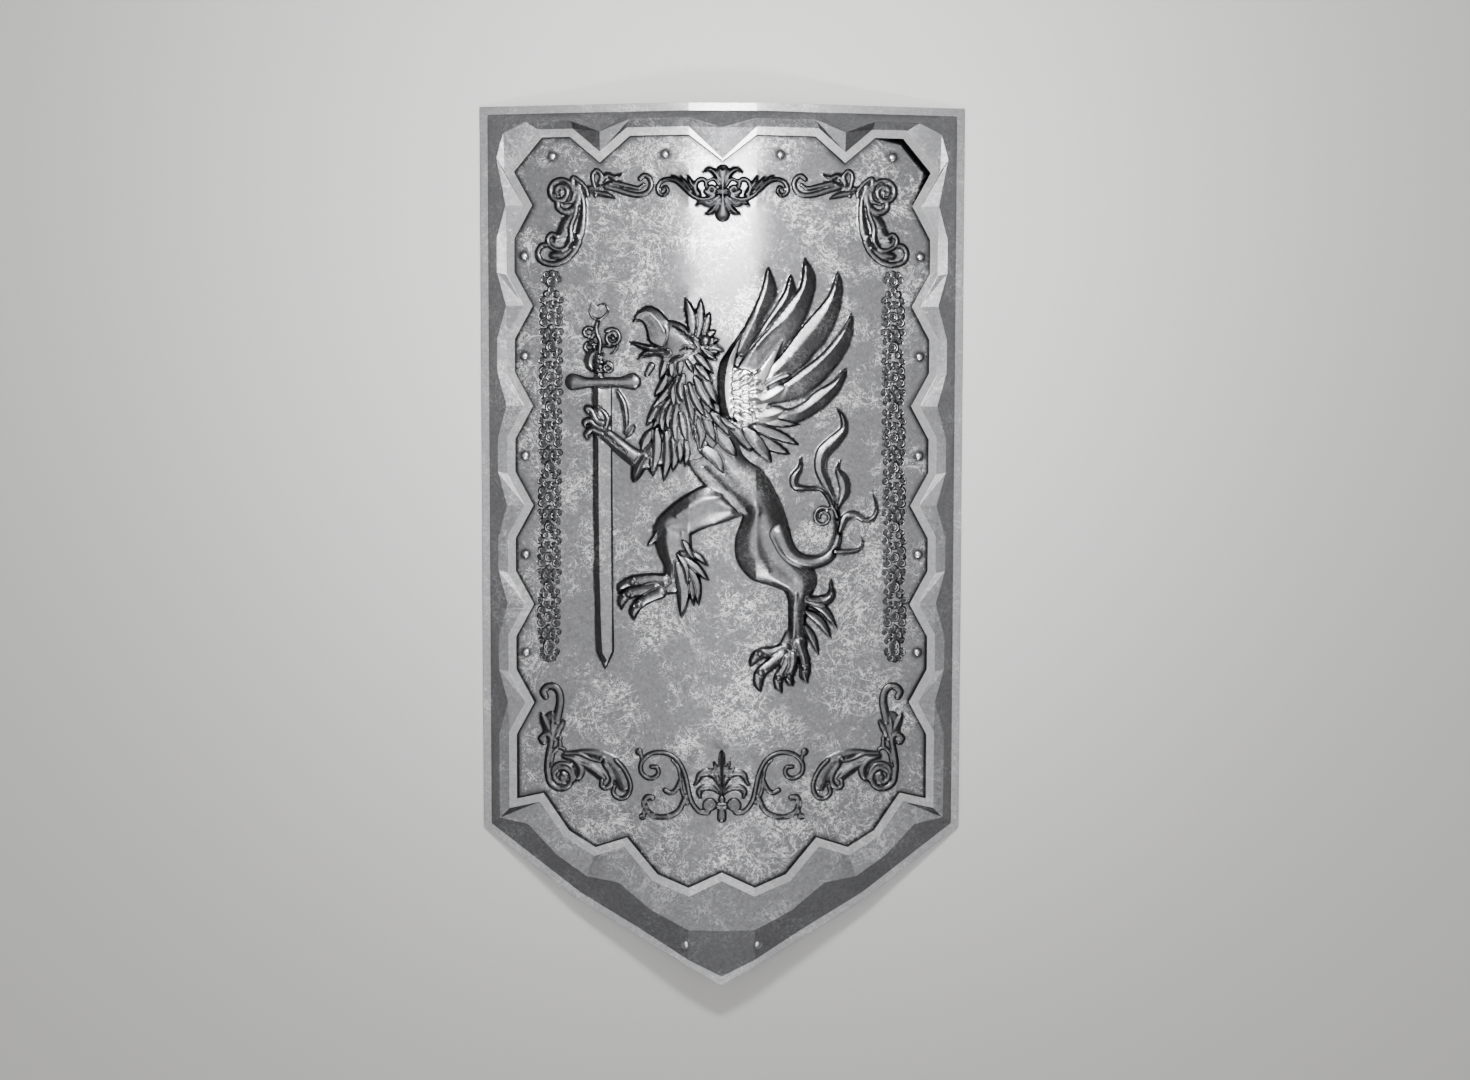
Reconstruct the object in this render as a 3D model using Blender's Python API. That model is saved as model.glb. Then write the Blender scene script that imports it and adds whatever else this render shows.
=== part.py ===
"""Tower shield of sheet steel, lying on its back with the front face up.

X runs to the right across the front, Y runs towards the top edge, Z stands up from the front face.
A pressed rim with a scalloped opening holds an embossed field plate by rivets; a bow grip sits behind.
"""
import math

import bmesh
import bpy
import numpy as np
from mathutils import Matrix, Vector
from mathutils.geometry import delaunay_2d_cdt

# Overall form
WIDTH = 0.610
HEIGHT = 1.108
SIDE_LENGTH = 0.914
FOLD = 0.042            # half width of the flat middle facet
DROP = 0.0475           # fall of the two side facets from fold to edge
KINK_ACROSS = 0.607     # where the lower edge changes slope, as a share of the half width
KINK_UP = 0.544         # and as a share of the point's height

# Rim section, heights over the folded datum surface
LIP_WIDTH = 0.010
EDGE_WIDTH = 0.004      # the thicker outermost edge
LIP_LEVEL = 0.004
CREST_LEVEL = 0.017
STRIP_LEVEL = 0.012
STRIP_WIDTH = 0.010
SHEET = 0.002
WALL = 0.0015
FLANGE_LEVEL = 0.0027
FLANGE_SHEET = 0.0015
FLANGE_REACH = 0.010    # flange beyond the scallop points

# Opening and crest line
BORDER_TOP = 0.0405
BORDER_SIDE = 0.044
BORDER_FOOT = 0.083     # least height of the opening over the lower edge
SCALLOP_TOP = 0.032
SCALLOP_SIDE = 0.023
SIDE_SCALLOPS = 6
SCALLOP_PITCH = 0.137   # as a share of the side length
FIRST_SCALLOP = 0.988   # its distance from the top edge, as a share of the pitch
LAST_BAY = 0.040        # where the lowest bay ends, over the side's lower corner
OPENING_CHAMFER = 0.0354
OPENING_CHAMFER_DROP = 0.0418
CREST_TOP = 0.0205
CREST_SIDE = 0.022
CREST_FOOT = 0.0405     # least height of the crest over the lower edge
CREST_WAVE_MIDDLE = 0.012
CREST_WAVE_TOP = 0.0145
CREST_WAVE_SIDE = 0.0115
CREST_LAST_BAY = 0.0155
CREST_CORNER = ((0.037, 0.001), (0.009, 0.014), (0.0, 0.045))   # in from the side, down from the top
OUTLINE_CORNER = 0.0305  # points of the outer edge that go with the crest's corner
OUTLINE_CORNER_DROP = 0.062
TOP_PEAK = 0.500        # place of the second top scallop, as a share of the half width
TOP_PEAK_HALF = 0.123
STRIP_PINCH = 0.003     # width left to the strip at the top middle scallop

# The wave of opening and crest over the lower edge: shares of the half width, multiples of their least height
FOOT_OPENING = ((0.744, 1.277), (0.636, 1.0), (0.526, 1.006), (0.393, 1.453), (0.266, 1.166))
FOOT_CREST = ((0.807, 1.272), (0.687, 1.0), (0.561, 1.0), (0.426, 1.417), (0.292, 1.165))
FOOT_FOLD = 1.247       # multiple on the fold
FOOT_MIDDLE_OPENING = 1.771
FOOT_MIDDLE_CREST = 1.815
CORNER_TO_KINK = (0.286, 0.635)     # points of the lower edge that go with the crest's
KINK_TO_TIP = (0.164, 0.41)

# Field plate and its carving
FIT_GAP = 0.0003
PLATE_SHEET = 0.0015
FIGURE_HEIGHT = 0.550
ORNAMENT_SCALE = 1.0    # at one, the ornaments keep their share of the width
RELIEF_PITCH = 0.002
EDGE_POINTS = 1100      # points spent on the edges of the forms
RELIEF_POINTS = 1400    # points spent on the forms themselves
LEAST_FORM = 0.00003    # area of the smallest form or gap kept, in square metres
FOLD_STEP = 0.008
LONGEST_SIDE = 0.06     # of the plate's outline between two points
RIDGE_STEP = 0.012      # spacing of the points along a form's middle line
RIDGE_DEPTH = 0.0009    # least depth inside an edge of anything raised
COVERED = 0.0006        # a ridge this far below another form isn't drawn
EDGE_SOFTNESS = 0.003   # the points keep this far inside the edges where they can

# Rivets
RIVET_INSET = 0.0115    # of the side rivets from the opening's side
RIVET_DEPTH = 0.063     # of the top rivets below the top edge
RIVET_ACROSS = (0.698, 0.235)       # of the top rivets, as shares of the half width
TIP_RIVET_ACROSS = 0.0458
TIP_RIVET_UP = 0.0275   # over the lower edge
RIVET_RADIUS = 0.0057
RIVET_DOME = 0.0034
SHANK_RADIUS = 0.0025
TAIL_RADIUS = 0.0042
TAIL_HEIGHT = 0.0014
RIVET_SIDES = 8
SEAT_SIDES = 8          # the plate stays level round each rivet, out to this share of the dome
SEAT_SHARE = 1.3
SEAT_GAP = 0.0003
HOLE_GAP = 0.0005       # round the shank, which leans with the side facets

# Grip
GRIP_SPAN = 0.220
GRIP_RADIUS = 0.0085
GRIP_CLEAR = 0.0285     # room for the fingers behind the plate
PAD_HALF_WIDTH = 0.013
PAD_SHEET = 0.003

HALF = WIDTH / 2
TOP = HEIGHT / 2
SIDE_END = TOP - SIDE_LENGTH
POINT = SIDE_END + HEIGHT / 2
PLATE_BACK = FLANGE_LEVEL + FIT_GAP
PLATE_LEVEL = PLATE_BACK + PLATE_SHEET
UNIT = FIGURE_HEIGHT / 110                  # the figure is drawn 110 units high
ORNAMENT_UNIT = ORNAMENT_SCALE * HALF / 61  # and the ornaments in a half width of 61


def datum(x):
    """Height of the folded datum surface at x."""
    return DROP * (1 - np.clip((np.abs(x) - FOLD) / (HALF - FOLD), 0, None))


# Loops of the rim, right half from the top centre round to the tip

def pitch_length():
    return SCALLOP_PITCH * SIDE_LENGTH


def kink_point():
    return (KINK_ACROSS * HALF, -TOP + KINK_UP * POINT)


def lower_edge(x):
    """Height of the outer edge at x, between the side's lower corner and the tip."""
    kink = kink_point()
    return float(np.interp(abs(x), (0, kink[0], HALF), (-TOP, kink[1], SIDE_END)))


def foot_wave(places, least, middle):
    """Points of the opening or the crest over the lower edge, from the side to the middle."""
    shares = [(across * HALF, multiple) for across, multiple in places] + [(FOLD, FOOT_FOLD), (0.0, middle)]
    return [(x, lower_edge(x) + multiple * least) for x, multiple in shares]


def scallop_rows():
    """Heights of the scallop points and of the two ends of each bay between them."""
    pitch = pitch_length()
    for i in range(SIDE_SCALLOPS):
        peak = TOP - (FIRST_SCALLOP + i) * pitch
        yield peak, peak - pitch / 3, peak - 2 * pitch / 3


def opening_half():
    top = TOP - BORDER_TOP
    side = HALF - BORDER_SIDE
    corner = OPENING_CHAMFER
    drop = OPENING_CHAMFER_DROP
    pts = [(0, top - SCALLOP_TOP), (FOLD, top), ((TOP_PEAK - TOP_PEAK_HALF) * HALF, top),
           (TOP_PEAK * HALF, top - SCALLOP_TOP), ((TOP_PEAK + TOP_PEAK_HALF) * HALF, top),
           (side - corner, top), (side - corner / 2, top - drop / 2), (side, top - drop)]
    for peak, upper, lower in scallop_rows():
        pts += [(side - SCALLOP_SIDE, peak), (side, upper), (side, lower)]
    pts[-1] = (side, SIDE_END + LAST_BAY)
    return pts + foot_wave(FOOT_OPENING, BORDER_FOOT, FOOT_MIDDLE_OPENING)


def crest_half():
    top = TOP - CREST_TOP
    side = HALF - CREST_SIDE
    pts = [(0, top - CREST_WAVE_MIDDLE), (FOLD, top), ((TOP_PEAK - TOP_PEAK_HALF) * HALF, top),
           (TOP_PEAK * HALF, top - CREST_WAVE_TOP), ((TOP_PEAK + TOP_PEAK_HALF) * HALF, top)]
    pts += [(side - across, top - down) for across, down in CREST_CORNER]
    for peak, upper, lower in scallop_rows():
        pts += [(side - CREST_WAVE_SIDE, peak), (side, upper), (side, lower)]
    pts[-1] = (side, SIDE_END + CREST_LAST_BAY)
    return pts + foot_wave(FOOT_CREST, CREST_FOOT, FOOT_MIDDLE_CREST)


def mix(a, b, t):
    return (a[0] + (b[0] - a[0]) * t, a[1] + (b[1] - a[1]) * t)


def outline_half():
    """Outer edge, one point for each point of the crest."""
    pts = [(x, TOP) for x, y in crest_half()[:5]]
    pts += [(HALF - OUTLINE_CORNER, TOP), (HALF, TOP), (HALF, TOP - OUTLINE_CORNER_DROP)]
    for peak, upper, lower in scallop_rows():
        pts += [(HALF, peak), (HALF, upper), (HALF, lower)]
    corner = (HALF, SIDE_END)
    kink = kink_point()
    tip = (0, -TOP)
    pts[-1] = corner
    pts += [mix(corner, kink, share) for share in CORNER_TO_KINK] + [kink]
    pts += [mix(kink, tip, share) for share in KINK_TO_TIP]
    return pts + [mix(kink, tip, 1 - FOLD / kink[0]), tip]


def whole(half):
    """The full loop, clockwise seen from the front, of a half that starts and ends on the middle line."""
    return np.array(half + [(-x, y) for x, y in half[-2:0:-1]])


def offset(loop, distance):
    """Loop moved to its left by a distance, with mitred corners; a clockwise loop grows."""
    before = loop - np.roll(loop, 1, axis=0)
    after = np.roll(loop, -1, axis=0) - loop
    before /= np.linalg.norm(before, axis=1)[:, None]
    after /= np.linalg.norm(after, axis=1)[:, None]
    left_a = np.stack([-before[:, 1], before[:, 0]], 1)
    left_b = np.stack([-after[:, 1], after[:, 0]], 1)
    mitre = left_a + left_b
    mitre /= (1 + (left_a * left_b).sum(1))[:, None]
    moved = loop + mitre * distance
    on_fold = np.abs(np.abs(loop[:, 0]) - FOLD) < 1e-9
    moved[on_fold, 0] = loop[on_fold, 0]
    return moved


def flange_loop(opening):
    """Inner edge of the flange: straight runs a little inside the scallop points."""
    side = HALF - BORDER_SIDE - SCALLOP_SIDE - FLANGE_REACH
    top = TOP - BORDER_TOP - SCALLOP_TOP - FLANGE_REACH
    foot = foot_wave(FOOT_OPENING, BORDER_FOOT, FOOT_MIDDLE_OPENING)
    x = np.clip(opening[:, 0], -side, side)
    ends = [foot[-1][1] + FLANGE_REACH, foot[0][1] + FLANGE_REACH]
    peak = max(y + FLANGE_REACH - np.interp(across, (FOLD, side), ends) for across, y in foot)
    floor = np.interp(np.abs(x), (FOLD, side), ends) + max(peak, 0)
    y = np.clip(opening[:, 1], floor, top)
    return np.stack([x, y], 1)


def raised(loop, level, over=None):
    """Loop in space, at a level over the datum taken under the loop or under its partner."""
    x = (loop if over is None else over)[:, 0]
    return np.column_stack([loop, datum(x) + level])


# Meshes

def add_object(name, bm, material, smooth=False):
    bmesh.ops.remove_doubles(bm, verts=bm.verts, dist=1e-6)
    bmesh.ops.dissolve_degenerate(bm, dist=1e-6, edges=bm.edges)
    bmesh.ops.recalc_face_normals(bm, faces=bm.faces)
    mesh = bpy.data.meshes.new(name)
    bm.to_mesh(mesh)
    bm.free()
    obj = bpy.data.objects.new(name, mesh)
    bpy.context.scene.collection.objects.link(obj)
    mesh.materials.append(material)
    if smooth:
        mesh.shade_smooth()
        mesh.set_sharp_from_angle(angle=math.radians(40))
    return obj


def steel(name, colour, roughness):
    material = bpy.data.materials.new(name)
    material.use_nodes = True
    shader = material.node_tree.nodes["Principled BSDF"]
    shader.inputs["Base Color"].default_value = (*colour, 1)
    shader.inputs["Metallic"].default_value = 1
    shader.inputs["Roughness"].default_value = roughness
    return material


def build_rim(material):
    opening = whole(opening_half())
    crest = whole(crest_half())
    outline = whole(outline_half())
    strip = offset(opening, STRIP_WIDTH)
    strip[0] = opening[0] + (0, STRIP_PINCH)
    lip = offset(outline, -LIP_WIDTH)
    edge = offset(outline, -EDGE_WIDTH)
    wall = offset(opening, WALL)
    wall[0] = opening[0] + (0, STRIP_PINCH / 2)
    flange = flange_loop(opening)
    flange_back = FLANGE_LEVEL - FLANGE_SHEET
    front = [(outline, 0), (outline, LIP_LEVEL), (lip, LIP_LEVEL), (crest, CREST_LEVEL), (strip, STRIP_LEVEL),
             (opening, STRIP_LEVEL), (opening, FLANGE_LEVEL), (flange, FLANGE_LEVEL)]
    back = [(flange, flange_back), (wall, flange_back), (wall, STRIP_LEVEL - SHEET),
            (strip, STRIP_LEVEL - SHEET), (crest, CREST_LEVEL - SHEET), (lip, LIP_LEVEL - SHEET),
            (edge, LIP_LEVEL - SHEET)]
    rings = [raised(loop, level) for loop, level in front + back] + [raised(edge, 0, over=outline)]
    bm = bmesh.new()
    loops = [[bm.verts.new(p) for p in ring] for ring in rings]
    count = len(loops[0])
    for k, loop in enumerate(loops):
        following = loops[(k + 1) % len(loops)]
        for i in range(count):
            j = (i + 1) % count
            a, b, c, d = loop[i], loop[j], following[j], following[i]
            # The diagonal mirrors across the middle line, and runs the same way before and behind
            if (i < count // 2) == (k < len(front)):
                bm.faces.new((a, b, c))
                bm.faces.new((a, c, d))
            else:
                bm.faces.new((a, b, d))
                bm.faces.new((b, c, d))
    return add_object("rim", bm, material)


# Carving: each form is a stroke: path, half widths in units, crown in fifths of a unit and section

def curve(points, steps=5):
    """Smooth curve through the points."""
    p = np.array(points, float)
    q = np.vstack([2 * p[0] - p[1], p, 2 * p[-1] - p[-2]])
    out = []
    for a, b, c, d in zip(q[:-3], q[1:-2], q[2:-1], q[3:]):
        for t in np.arange(steps) / steps:
            out.append(0.5 * (2 * b + (c - a) * t + (2 * a - 5 * b + 4 * c - d) * t ** 2
                              + (3 * b - a - 3 * c + d) * t ** 3))
    out.append(p[-1])
    return np.array(out)


def limb(points, widths, crown, section="round"):
    """A form with a half width at each point of its path."""
    return (points, widths, crown, section)


def leaf(points, width, crown, root=0.6):
    """A ridged form that swells from its root and runs out to a point."""
    shares = (root, 0.85, 1, 0.92, 0.6, 0.06)
    return (points, [width * s for s in shares], crown, "ridge")


def cord(points, width, crown, end=0.9):
    """A scroll stem, thinned or swelled towards its end."""
    return (points, [width, width * (1 + end) / 2, width * end], crown, "round")


def coil(x, y, start, end, angle, turns):
    """Points of a spiral round a centre, from one radius to another."""
    count = int(abs(turns) * 8) + 2
    points = []
    for i in range(count):
        t = i / (count - 1)
        radius = start + (end - start) * t
        a = math.radians(angle + 360 * turns * t)
        points.append((x + radius * math.cos(a), y + radius * math.sin(a)))
    return points


def bead(x, y, radius, crown):
    return ([(x, y), (x, y - 0.01)], [radius, radius], crown, "round")


def along(line, t):
    """Point at a share of the way along a polyline's points."""
    line = np.array(line, float)
    place = np.linspace(0, 1, len(line))
    return np.array([np.interp(t, place, line[:, k]) for k in (0, 1)])


def locks(roots, tips, count, width, crown, bend=0.12):
    """A row of pointed locks from a line of roots to a line of tips, every other one shorter."""
    row = []
    for i in range(count):
        t = i / (count - 1)
        root = along(roots, t)
        tip = along(tips, t)
        if i % 2:
            tip = root + (tip - root) * 0.9
        fall = tip - root
        middle = root + fall * 0.5 + np.array([-fall[1], fall[0]]) * bend * (0.5 - t)
        row.append(leaf([root, middle, tip], width, crown))
    return row


def placed(strokes, unit, origin=(0, 0), anchor=(0, 0), side=1):
    """Strokes in metres, their origin on an anchor of the shield; a side of -1 mirrors them."""
    out = []
    for points, widths, crown, section in strokes:
        path = (np.array(points, float) - origin) * unit + anchor
        path[:, 0] *= side
        out.append((path, [width * unit for width in widths], crown * unit / 5, section))
    return out


def both_sides(strokes, origin, anchor):
    """An ornament on its anchor, and the same again as its mirror image."""
    return placed(strokes, ORNAMENT_UNIT, origin, anchor) + placed(strokes, ORNAMENT_UNIT, origin, anchor, -1)


def sword():
    blade = [(-30.2, 38), (-29.8, 0), (-29.6, -26.2), (-29.45, -30.2)]
    guard = [(-37.2, 42), (-34, 41.8), (-25.5, 41.9), (-22.6, 42.1)]
    strokes = [limb(blade, [2.3, 2.35, 2.3, 0.15], 5.0, "ridge"),
               limb([(-30.9, 57), (-30.9, 43)], [0.8, 1.2], 4.5),
               limb(guard, [2.1, 1.3, 1.3, 2.1], 5.5, "slab")]
    for x, y, radius in ((-33.6, 54.3, 1.5), (-33.4, 50.8, 1.4), (-27.5, 53.0, 2.0), (-28.7, 45.6, 1.2)):
        strokes.append(cord(coil(x, y, radius, radius * 0.8, 300, 1), 0.6, 4.2))
    strokes.append(cord([(-33.2, 51.4), (-27.6, 50.8)], 0.5, 4.0))
    strokes.append(leaf([(-32, 49.6), (-33.2, 47), (-31.6, 44.3)], 1.3, 3.6))
    strokes.append(leaf([(-25.9, 39.8), (-23.9, 34), (-24.2, 27.8)], 0.9, 2.6))
    return strokes


def foreleg():
    strokes = [limb([(-31.6, 30.6), (-26, 26.2), (-20.6, 22.6), (-14, 26)], [1.5, 1.8, 2.4, 3.4], 6.5),
               leaf([(-19.6, 23), (-21, 20.4), (-22.2, 16.8)], 1.7, 5.5, 0.9),
               limb([(-29.4, 30.4), (-28.7, 32.6), (-31.4, 36)], [1.0, 0.9, 0.3], 7.0)]
    for x, y, root in ((-33.9, 35.0, 32.4), (-34.4, 31.6, 31.0), (-34.0, 28.6, 29.6)):
        strokes.append(limb([(-30, root - 0.6), (-31.6, root), (-32.8, (y + root) / 2 + 0.9), (x, y)],
                            [0.9, 0.95, 1.0, 0.5], 7.2))
    return strokes


def body():
    """Muscle forms that run into one another."""
    return [
        limb([(-6, 36), (-2.6, 28), (1.6, 21), (6, 15.5), (9.6, 9.6)], [8.5, 8.2, 6.9, 6.0, 6.2], 9.0),
        limb([(-7.5, 27), (-3.5, 20), (1, 15)], [5, 4.4, 3.5], 7.0),
        limb([(9.6, 13), (10.2, 8), (9.4, -0.4), (11, -3.6)], [5.8, 6.7, 6.5, 4.9], 9.5),
        limb([(9.6, -1.2), (12.6, -4.4), (16, -6.8), (19.2, -9.0)], [5.4, 4.7, 3.9, 3.3], 8.5),
        limb([(20.6, -7.4), (21.4, -8.8), (18.9, -15), (18.4, -23)], [3.0, 2.6, 2.5, 2.9], 7.5),
        limb([(18.2, -22.4), (16.2, -28.4)], [2.9, 2.0], 7.0),
        limb([(5.5, 13.6), (0.4, 13.0), (-9.5, 9.4), (-12.6, 7.0)], [5.4, 4.9, 4.5, 4.2], 9.0),
        limb([(-12.8, 7.2), (-11.4, -0.5), (-13.0, -7.5)], [4.2, 4.2, 2.3], 7.5),
        limb([(-12.6, -8.6), (-19.4, -10.2)], [2.6, 1.5], 6.5),
    ]


def claws():
    toes = (
        [(-14.5, -7.6), (-22.6, -8.1), (-26.1, -11.3)], [(-17, -9.8), (-23.6, -11.2), (-25.2, -15.4)],
        [(-15.6, -10.8), (-21, -13.8), (-22.1, -18.1)], [(16.2, -24.8), (9.6, -26), (7.2, -29.4)],
        [(15.4, -26.4), (9.8, -30.8), (9.8, -36)], [(16.8, -27.4), (14.3, -32.2), (15.2, -36.3)],
        [(18, -26.4), (16.9, -31.8), (17.9, -34.4)], [(19.4, -23.6), (21, -29.8), (21.8, -33.9)],
    )
    return [limb(toe, [1.5, 1.25, 0.15], 6.0) for toe in toes]


def fur():
    shin = [(-9, 1.5), (-9.8, -3), (-11.4, -3.6)]
    hook = [(21.6, -12.4), (25, -13), (27.4, -11.6), (27.4, -7.6)]
    strokes = locks(shin, [(-3.2, -4), (-4.6, -12), (-10, -17.5)], 6, 1.5, 6.6)
    strokes += locks([(21.2, -13), (20.8, -19)], [(29.4, -19.5), (24.4, -27)], 4, 1.5, 4.8)
    strokes.append(leaf([(-16.2, 4.5), (-17.2, 2.6), (-18.8, 1)], 0.9, 4.0, 0.9))
    strokes.append(limb(hook, [1.0, 1.7, 1.3, 0.15], 4.6, "ridge"))
    return strokes


def tail():
    stem = [(14.5, 4), (16.6, -0.4), (23.4, -3.1), (28.8, 1.6), (28.9, 9), (28.2, 12.4)]
    plume = [(28.2, 12.2), (24.6, 20.4), (28, 27.2), (30.1, 33.4), (28.4, 35.8)]
    inner = [(27.8, 10.6), (24.2, 15.3), (18.3, 15.9), (19.5, 20.8), (19.5, 23.8)]
    return [
        limb(stem, [2.6, 2.2, 1.75, 1.35, 0.9, 0.8], 5.0),
        limb(plume, [0.8, 1.6, 1.8, 0.7, 0.1], 4.0, "ridge"),
        limb([(29.2, 10.8), (30.6, 16), (29.0, 20), (29.7, 22.8)], [0.7, 1.6, 0.8, 0.1], 3.6, "ridge"),
        limb(inner, [0.7, 0.75, 1.2, 0.8, 0.1], 3.6, "ridge"),
        limb([(29.6, 4.5), (33.4, 8.6), (38.0, 7.8), (37.8, 14.6)], [0.8, 1.2, 0.9, 0.1], 2.6, "ridge"),
        limb([(28.6, -0.6), (34.2, -0.2), (34.8, 3.6)], [0.9, 0.7, 0.1], 2.4, "ridge"),
        cord(coil(25.4, 8.2, 2.5, 0.9, 30, 1.35), 0.55, 3.6),
    ]


def mane():
    return (
        [limb([(-8.5, 50), (-9.5, 44), (-9, 37), (-7.5, 31)], [4.2, 6.0, 7.6, 8.2], 6.5)]
        + locks([(-15.5, 27), (-8.6, 28)], [(-17.4, 18), (-12.4, 17.6), (-9.3, 20.4)], 5, 1.4, 7.2)
        + locks([(-6.4, 29.5), (6.6, 30.5)], [(-2.9, 22.6), (4, 21.6), (12.4, 21.7)], 5, 1.7, 7.2)
        + locks([(-17.2, 33), (-0.6, 34)], [(-18.9, 27), (-9, 26), (2.2, 27.6)], 9, 1.4, 8.0)
        + locks([(-15.4, 39), (-4.6, 40.5)], [(-18.8, 33), (-9.8, 32.4), (-1.4, 34.4)], 7, 1.4, 8.8)
        + locks([(-13.2, 44.6), (-4.6, 48)], [(-17.2, 38), (-9.8, 38), (-1.6, 42)], 7, 1.3, 9.4)
        + locks([(-12.4, 49.4), (-5.8, 49.6)], [(-15, 43.8), (-9, 43.8), (-2.2, 45.4)], 5, 1.2, 9.8)
    )


def head():
    nape = [(-7.2, 54.6), (-4.4, 53.4), (-3.4, 50.2)]
    return (
        locks(nape, [(-9.1, 63.1), (-3.6, 61), (0.2, 49.6)], 6, 1.1, 6.0, 0)
        + [
            limb([(-18.6, 58.2), (-14.6, 56), (-8.4, 51.4)], [2.4, 3.5, 3.2], 9.0),
            limb([(-14, 57), (-20.2, 58.6), (-22.1, 56)], [2.0, 1.6, 0.15], 8.6),
            leaf([(-14.6, 49.6), (-20.6, 51), (-23.4, 52.1)], 0.8, 4.6, 0.8),
            leaf([(-13.6, 49.4), (-17, 48.7), (-21.1, 47.4)], 1.0, 6.0, 0.9),
            leaf([(-11.6, 50.6), (-8.6, 50.8), (-5.2, 49.6)], 0.9, 10.2),
            bead(-9.9, 52.9, 0.8, 10.4),
            limb([(-6.4, 55.4), (-3.4, 49.6), (-2.6, 47)], [2.4, 2.6, 2.2], 6.4),
        ]
    )


def wing():
    strokes = [limb([(0.6, 46), (1.4, 36), (4, 32)], [1.9, 4.8, 4.4], 7.5),
               limb([(3, 42), (11, 36)], [3.6, 2.6], 6.5)]
    primaries = (
        ([(2.4, 45), (5, 52.4), (11.5, 62.6), (11.2, 70.8)], [1.5, 1.9, 1.9, 0.1]),
        ([(5, 47.6), (13.2, 58.6), (17.2, 68.9)], [1.2, 1.4, 0.1]),
        ([(5.6, 46), (16.2, 57.6), (21.7, 67), (20.4, 73.2)], [1.6, 2.6, 1.6, 0.1]),
        ([(10, 43), (23, 56.8), (28.9, 66.4), (28.6, 70.2)], [2.6, 3.0, 1.4, 0.1]),
        ([(12, 39.5), (26.2, 47.8), (32.1, 56.6), (32.5, 59.9)], [2.2, 2.8, 1.2, 0.1]),
        ([(11, 34.8), (25, 38.4), (30.9, 45.8)], [2.0, 2.2, 0.1]),
    )
    for path, widths in primaries:
        strokes.append(limb(path, widths, 6.4, "ridge"))
    strokes += locks([(8, 32), (7, 28.6)], [(19.6, 31.4), (17.2, 24)], 3, 1.4, 4.6, 0)
    strokes += locks([(3, 44), (7, 38), (6, 33)], [(9, 52), (17, 46), (16.2, 35)], 7, 1.6, 8.2, 0)
    # Scale feathers in arcs round the shoulder
    fan = [(math.cos(a), math.sin(a)) for a in (-0.5, 0.3, 1.1)]
    for row in range(3):
        reach = 8.0 - 2.4 * row
        roots = [(0.6 + reach * c, 36 + reach * s) for c, s in fan]
        tips = [(0.6 + (reach + 3) * c, 36 + (reach + 3) * s) for c, s in fan]
        strokes += locks(roots, tips, 6 - row, 1.0, 8.6 + 0.4 * row, 0)
    return strokes


def corner_top():
    scroll = coil(-41.2, 89.4, 0.9, 3.3, 200, -1.55) + [(-38, 92.7), (-34.6, 89.8)]
    foot = [(-36.4, 77), (-40, 72.4), (-46, 72.2), (-46, 76)]
    hook = [(-29.6, 90.6), (-21.6, 88.3), (-18.3, 90.6), (-21.1, 92.3)]
    return [
        cord(scroll, 0.75, 4.4), bead(-41.1, 89.3, 0.85, 4.6), cord(foot, 0.75, 4.2), cord(hook, 0.75, 3.8),
        cord([(-36.9, 90.6), (-37.8, 85.2), (-41.7, 85.4), (-41.9, 87)], 0.95, 4.2),
        limb([(-36.2, 90.4), (-35.4, 83), (-37.2, 76.4)], [0.6, 0.9, 1.1], 3.8, "ridge"),
        limb([(-36.6, 88.4), (-38.6, 80.6), (-40, 75.2)], [0.6, 1.0, 0.7], 4.4, "ridge"),
        limb([(-37.8, 84), (-40.6, 79), (-42.4, 77.4)], [0.8, 1.3, 0.8], 3.6, "ridge"),
        cord([(-42, 78.2), (-44.4, 77.6), (-41.8, 75), (-38.6, 77)], 0.65, 4.6),
        cord([(-31.2, 91.4), (-32, 94.5), (-32.4, 90.2)], 0.65, 3.6),
        leaf([(-30.8, 91.4), (-28, 92.9), (-25, 93.8)], 0.8, 3.2),
        leaf([(-33.4, 89.4), (-26.6, 87.3)], 0.8, 3.2), leaf([(-34.2, 90.2), (-25.6, 91.9)], 0.8, 3.2),
    ]


def corner_bottom():
    stem = [(-46.2, -48.6), (-43.9, -47.9), (-44.2, -52.4), (-44.6, -55.6)]
    scroll = stem + coil(-41, -58.3, 3.5, 0.8, 170, 1.7)
    return [
        cord([(-45, -37.8), (-43, -35.2), (-41.2, -38.8), (-42.2, -44)], 0.8, 4.0, 1.25),
        limb([(-43.3, -43.4), (-43.3, -47)], [1.6, 2.0], 3.0),
        leaf([(-43.8, -46.8), (-46.1, -41.8)], 1.1, 3.8), leaf([(-42.2, -47.4), (-39.8, -43.4)], 1.0, 3.8),
        bead(-45.6, -49.2, 0.95, 4.4), cord(scroll, 0.75, 4.4), bead(-40.9, -58.6, 0.8, 4.6),
        limb([(-40.4, -53), (-36, -56), (-38.2, -58.9)], [0.6, 1.1, 0.6], 4.2, "ridge"),
        limb([(-38.6, -51.8), (-31.2, -52.4), (-26, -57), (-25, -60)], [0.4, 1.3, 1.8, 1.3], 3.2, "ridge"),
        cord([(-27, -53.6), (-23.4, -59), (-25.4, -63.3), (-27.4, -60.4)], 0.6, 4.2),
        cord([(-40, -52.2), (-31.2, -53.9), (-28, -59), (-30.6, -60.4)], 0.6, 4.0),
        limb([(-36.4, -54.6), (-29.8, -58.4)], [0.7, 0.9], 3.8, "ridge"),
    ]


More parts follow.
